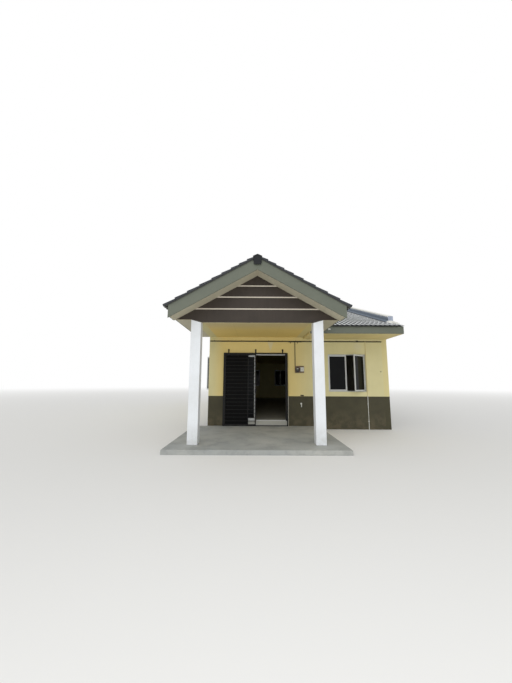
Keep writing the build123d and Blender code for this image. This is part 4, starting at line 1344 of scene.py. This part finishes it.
def panelGrid():
    # Sunk = depth times a ramp of the distance inside each panel's edge, with a raised middle
    left, right, low, high = zip(*rearDoor["panels"])
    width, height = np.ptp(rearDoor["x"]), np.ptp(rearDoor["z"])
    across, up = np.meshgrid(panelLines(width, left, right), panelLines(height, low, high))
    depth = np.zeros_like(across)
    for left, right, low, high in rearDoor["panels"]:
        inside = np.minimum(np.minimum(across - left, right - across), np.minimum(up - low, high - up))
        depth += np.interp(inside, [0, 0.014, 0.04, 0.055], [0, 1, 1, 0.35]) * (inside > 0)
    return rearDoor["x"][0] + across, rearDoor["z"][0] + up, rearDoor["sunk"] * depth


doorX, doorZ, sunkDepth = panelGrid()
innerY, outerY = rearDoor["y"]
innerFace, outerFace = (np.stack([doorX, y, doorZ], -1) for y in (innerY + sunkDepth, outerY - sunkDepth))
rearLeaf = shell(innerFace, outerFace)
rearPiece = makePiece("rearDoorLeaf", *rearLeaf, finishes["door_paint"], "door_paint", soften=25)
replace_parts(rearPiece, "rear_door")


def leverHandle(x, face, out, z):
    # A rose, a neck and an oval lever, standing out of either face
    rose = bar3(around(x, 0.022), sorted((face, face + out * 0.006)), around(z, 0.08), 0.004)
    neck = rod((x, face + out * 0.004, z), (x, face + out * 0.04, z), 0.009, 14)
    turn = np.linspace(0, 2 * np.pi, 12, endpoint=False)
    lever = loft([np.column_stack([np.full(12, x + dx), face + out * (0.04 + 0.007 * np.cos(turn)),
                                   z + 0.009 * np.sin(turn)]) for dx in (-0.012, 0.01, 0.06, 0.11, 0.125)])
    return joined([rose, neck, lever])


rearHandles = [leverHandle(rearDoor["leverX"], face, out, rearDoor["leverZ"])
               for face, out in ((outerY, 1), (innerY, -1))]
hinge = (rearDoor["hingeX"], innerY - 0.004)
rearHinges = [rod((*hinge, z - 0.05), (*hinge, z + 0.05), 0.007, 12) for z in rearDoor["hingeZ"]]
makePiece("rearDoorFittings", *joined(rearHandles + rearHinges), handleFinish, "aluminium")
print("rear door finished")


# Fittings on the front wall: places along it, levels, radii and half lengths; profiles are radius and depth
wallFittings = {"conduit": 3.605, "conduitRadius": 0.0095, "conduitZ": (0.004, 2.83),
                "straps": (0.25, 0.8, 1.35, 1.9, 2.45), "cable": 2.836, "clips": (-1.4, 4.1),
                "clipPitch": 0.45, "clamp": 3.34, "hole": (4.08, 1.84), "bar": (1.48, 1.06), "screwAt": 0.04,
                "stubs": (1.12, 1.36), "stubY": -0.009, "footSunk": 0.002, "footProud": 0.0015,
                "grommet": [(0.001, 0.0005), (0.012, 0.0005), (0.0135, 0.004), (0.019, 0.0045),
                            (0.021, 0.002), (0.021, -0.004), (0.001, -0.004)],
                "screw": [(0.001, 0), (0.005, 0), (0.004, 0.003), (0.001, 0.0035)]}


def strapSection(middle, axis, radius, foot, heel):
    # A strap over a pipe or a cable: half a ring between two flat feet, as (place, depth) pairs
    turn = np.linspace(0, np.pi, 9)
    inner = np.column_stack([middle + radius * np.cos(turn), -axis - radius * np.sin(turn)])[::-1]
    proud, sunk = wallFittings["footProud"], wallFittings["footSunk"]
    outside = radius + proud
    outer = np.column_stack([middle + outside * np.cos(turn), -axis - outside * np.sin(turn)])
    far, near = around(middle, radius + foot)[::-1], around(middle, radius)[::-1]
    heels = around(middle, radius + heel)[::-1]
    return np.concatenate([[(far[0], -proud), (heels[0], -proud)], outer,
                           [(heels[1], -proud), (far[1], -proud), (far[1], sunk), (near[1], sunk)], inner,
                           [(near[0], sunk), (far[0], sunk)]])


def conduitStrap(z):
    # One over the upright conduit
    section = strapSection(wallFittings["conduit"], 0.0105, 0.0105, 0.014, 0.0015)
    return loft([np.column_stack([section, np.full(len(section), z + dz)]) for dz in (-0.008, 0.008)])


def cableClip(x):
    # One over the level cable
    section = strapSection(wallFittings["cable"], 0.01, 0.0105, 0.016, 0.001)
    return loft([np.column_stack([np.full(len(section), x + dx), section[:, ::-1]])
                 for dx in (-0.006, 0.006)])


clipPlaces = np.arange(*wallFittings["clips"], wallFittings["clipPitch"])
makePiece("cableClips", *joined([cableClip(x) for x in clipPlaces]), rubber, "cable_sheath")
secondCable = {"from": -1.543, "to": 4.143, "level": 2.8185, "axis": 0.0088, "radius": 0.0078, "sag": 0.003}


def cableBelow():
    # A thinner cable under the first: it falls by sag sin squared between one clip and the next
    x = np.linspace(secondCable["from"], secondCable["to"], 240)[:, None]
    share = (x - clipPlaces[0]) / wallFittings["clipPitch"]
    level = secondCable["level"] - secondCable["sag"] * np.sin(np.pi * share) ** 2
    turn = np.linspace(0, 2 * np.pi, 12, endpoint=False)
    y = -secondCable["axis"] - secondCable["radius"] * np.cos(turn)
    return loft(np.stack([x + 0 * turn, y + 0 * x, level - secondCable["radius"] * np.sin(turn)], -1))


makePiece("secondCable", *cableBelow(), rubber, "cable_sheath", soften=60)
clampX = wallFittings["clamp"]
clamp = [bar3(around(clampX, 0.035), (-0.022, 0.0), (2.812, 2.862), 0.005),
         bar3(around(clampX, 0.012), (-0.03, -0.02), (2.822, 2.852), 0.003)]
makePiece("cableClamp", *joined(clamp), rubber, "cable_sheath")
stubY = wallFittings["stubY"]
stubs = [rod((x, stubY, high), (x, stubY, low), radius, 14) for x in wallFittings["stubs"]
         for high, low, radius in ((2.815, 2.768, 0.0095), (2.77, 2.762, 0.0125))]
makePiece("hangerStubs", *joined(stubs), rubber, "cable_sheath")
pipeFoot, pipeHead = ((wallFittings["conduit"], -0.0105, z) for z in wallFittings["conduitZ"])
pipe = [rod(pipeFoot, pipeHead, wallFittings["conduitRadius"], 16)]
pipe += [conduitStrap(z) for z in wallFittings["straps"]]
makePiece("wallConduit", *joined(pipe), conduit, "white_plastic")
holeX, holeZ = wallFittings["hole"]
grommet = turnedOut((holeX, 0.001, holeZ), wallFittings["grommet"], 24)
makePiece("wallGrommet", *grommet, rubber, "cable_sheath")
barX, barZ = wallFittings["bar"]
bracket = [bar3(around(barX, 0.055), (-0.006, 0.0), around(barZ, 0.018), 0.003),
           bar3(around(barX, 0.045), (-0.03, -0.004), (barZ - 0.006, barZ), 0.002)]
bracket += [turnedOut((x, -0.0055, barZ + 0.009), wallFittings["screw"], 12)
            for x in around(barX, wallFittings["screwAt"])]
makePiece("wallBracket", *joined(bracket), blackSteel, "black_steel")


# Meter: a dark cover with a ring and a counter window, and the breaker's lid, lever and screws
meter = {"x": 1.3325, "z": 1.9, "face": -0.105, "breaker": 1.4815,
         "screwX": (1.273, 1.541), "screwZ": (1.802, 1.998),
         "dial": [(0.001, 0.0), (0.052, 0.0), (0.055, -0.002), (0.06, -0.0005), (0.066, 0.002),
                  (0.0695, -0.002), (0.0695, -0.012), (0.0685, -0.0125), (0.001, -0.0125)],
         "screw": [(0.001, 0), (0.006, 0), (0.005, 0.0025), (0.001, 0.003)]}
meterX, meterFace, breakerX = meter["x"], meter["face"], meter["breaker"]
ring = turnedOut((meterX, meterFace - 0.0005, meter["z"]), meter["dial"], 40)
makePiece("meterRing", *ring, meterDark, "meter_plastic")
left, right = around(meterX, 0.034)
counter = [bar3(around(meterX, 0.03), (meterFace - 0.0035, meterFace), (1.915, 1.932), 0.001),
           rod((left, meterFace - 0.0015, 1.885), (right, meterFace - 0.0015, 1.885), 0.003)]
makePiece("meterCounter", *joined(counter), counterFinish, "white_plastic")
terminal = bar3(around(meterX, 0.046), (-0.062, -0.024), (1.797, 1.838), 0.006)
makePiece("meterTerminals", *terminal, meterDark, "meter_plastic")
lid = [bar3(around(breakerX, 0.049), (-0.1105, -0.104), (1.846, 1.954), 0.005),
       bar3(around(breakerX, 0.024), (-0.1135, -0.1095), (1.877, 1.923), 0.002)]
makePiece("breakerLid", *joined(lid), breakerFinish, "white_plastic")
lever = bar3(around(breakerX, 0.008), (-0.1235, -0.1125), (1.898, 1.914), 0.002)
makePiece("breakerLever", *lever, meterDark, "meter_plastic")
screws = [turnedOut((x, -0.0245, z), meter["screw"], 14) for x in meter["screwX"] for z in meter["screwZ"]]
makePiece("meterScrews", *joined(screws), handleFinish, "aluminium")
print("wall fittings placed")


def placed(item, columns, place):
    # A new object put into the scene: the three directions of its own axes, and its place
    bpy.context.scene.collection.objects.link(item)
    matrix = np.eye(4)
    matrix[:3, :3], matrix[:3, 3] = np.stack(columns, 1), place
    item.matrix_world = Matrix(matrix.tolist())
    return item


def addCamera():
    # Camera where the photographer stood: it looks ahead, turned, pitched and rolled by the viewpoint
    pitch, turn, roll = (radians(viewpoint[key]) for key in ("pitch", "turn", "roll"))
    ahead = np.array([sin(turn) * cos(pitch), cos(turn) * cos(pitch), sin(pitch)])
    right = np.array([cos(turn), -sin(turn), 0.0])
    up = np.cross(right, ahead)
    camera = bpy.data.cameras.new("viewpoint")
    camera.sensor_fit, camera.sensor_height, camera.lens = "VERTICAL", 36.0, viewpoint["lens"]
    camera.clip_start, camera.clip_end = 0.05, 2000.0
    columns = (right * cos(roll) + up * sin(roll), up * cos(roll) - right * sin(roll), -ahead)
    bpy.context.scene.camera = placed(bpy.data.objects.new("viewpoint", camera), columns, viewpoint["place"])


light = {"sky": 0.69, "key": 0.75, "soft": 60.0, "aim": (0.3, 0.8, -0.75), "fill": 200.0,
         "fillSize": (7.0, 3.0), "fillPlace": (0.6, -11.5, 1.7)}


def addLight():
    # White sky that shows as pure white but lights the house by less, a soft sun, and a softbox
    world = bpy.data.worlds.new("studio")
    world.use_nodes = True
    tree = world.node_tree
    path = tree.nodes.new("ShaderNodeLightPath")
    rays = ("Is Camera Ray", "Is Glossy Ray", "Is Transmission Ray")
    seen = [Signal(tree, path.outputs[name]) for name in rays]
    white = seen[0].most(seen[1]).most(seen[2])
    strength = white * (1 - light["sky"]) + light["sky"]
    background = tree.nodes["Background"]
    background.inputs["Color"].default_value = (1, 1, 1, 1)
    tree.links.new(strength.socket, background.inputs["Strength"])
    bpy.context.scene.world = world
    lamp = bpy.data.lights.new("key", "SUN")
    lamp.energy, lamp.angle = light["key"], radians(light["soft"])
    aim = np.array(light["aim"]) / np.linalg.norm(light["aim"])
    side = np.cross((0, 0, 1), -aim)
    side /= np.linalg.norm(side)
    placed(bpy.data.objects.new("key", lamp), (side, np.cross(-aim, side), -aim), (0, -6, 12))
    # A low wide softbox in front reaches under the porch
    fill = bpy.data.lights.new("fill", "AREA")
    fill.shape, fill.energy = "RECTANGLE", light["fill"]
    fill.size, fill.size_y = light["fillSize"]
    item = placed(bpy.data.objects.new("fill", fill), ((1, 0, 0), (0, 0, 1), (0, -1, 0)), light["fillPlace"])
    item.visible_glossy = item.visible_camera = False


def addFloor():
    # A wide pale floor that fades to the white background far from the house
    studio = {"reach": 400.0, "pale": (232, 232, 230), "middle": 5, "fade": 38.0, "soft": 30.0}
    reach = studio["reach"]
    mesh = bpy.data.meshes.new("studioFloor")
    corners = [(-reach, -reach, 0), (reach, -reach, 0), (reach, reach, 0), (-reach, reach, 0)]
    mesh.from_pydata(corners, [], [(0, 1, 2, 3)])
    material, place = newFinish("studioFloor", Roughness=0.9, Specular_IOR_Level=0.1)[:2]
    tree = material.node_tree
    shader = tree.nodes["Principled BSDF"]
    shader.inputs["Base Color"].default_value = tone(*studio["pale"])
    x, y = place.axes()[:2]
    away = y - studio["middle"]
    far = (x * x + away * away).maths("SQRT").over(studio["fade"], studio["soft"])
    path = tree.nodes.new("ShaderNodeLightPath")
    camera = Signal(tree, path.outputs["Is Camera Ray"]).most(Signal(tree, path.outputs["Is Glossy Ray"]))
    glow = place.make("ShaderNodeEmission", None, {"Color": (1, 1, 1, 1), "Strength": 1.0})
    plain = Signal(tree, shader.outputs[0])
    mixed = place.make("ShaderNodeMixShader", None, {0: far * camera, 1: plain, 2: glow})
    tree.links.new(mixed.socket, tree.nodes["Material Output"].inputs["Surface"])
    mesh.materials.append(material)
    floor = bpy.data.objects.new("studioFloor", mesh)
    bpy.context.scene.collection.objects.link(floor)


addCamera()
addLight()
addFloor()
bpy.context.scene.view_settings.view_transform = "Standard"
print("camera, light and floor placed")
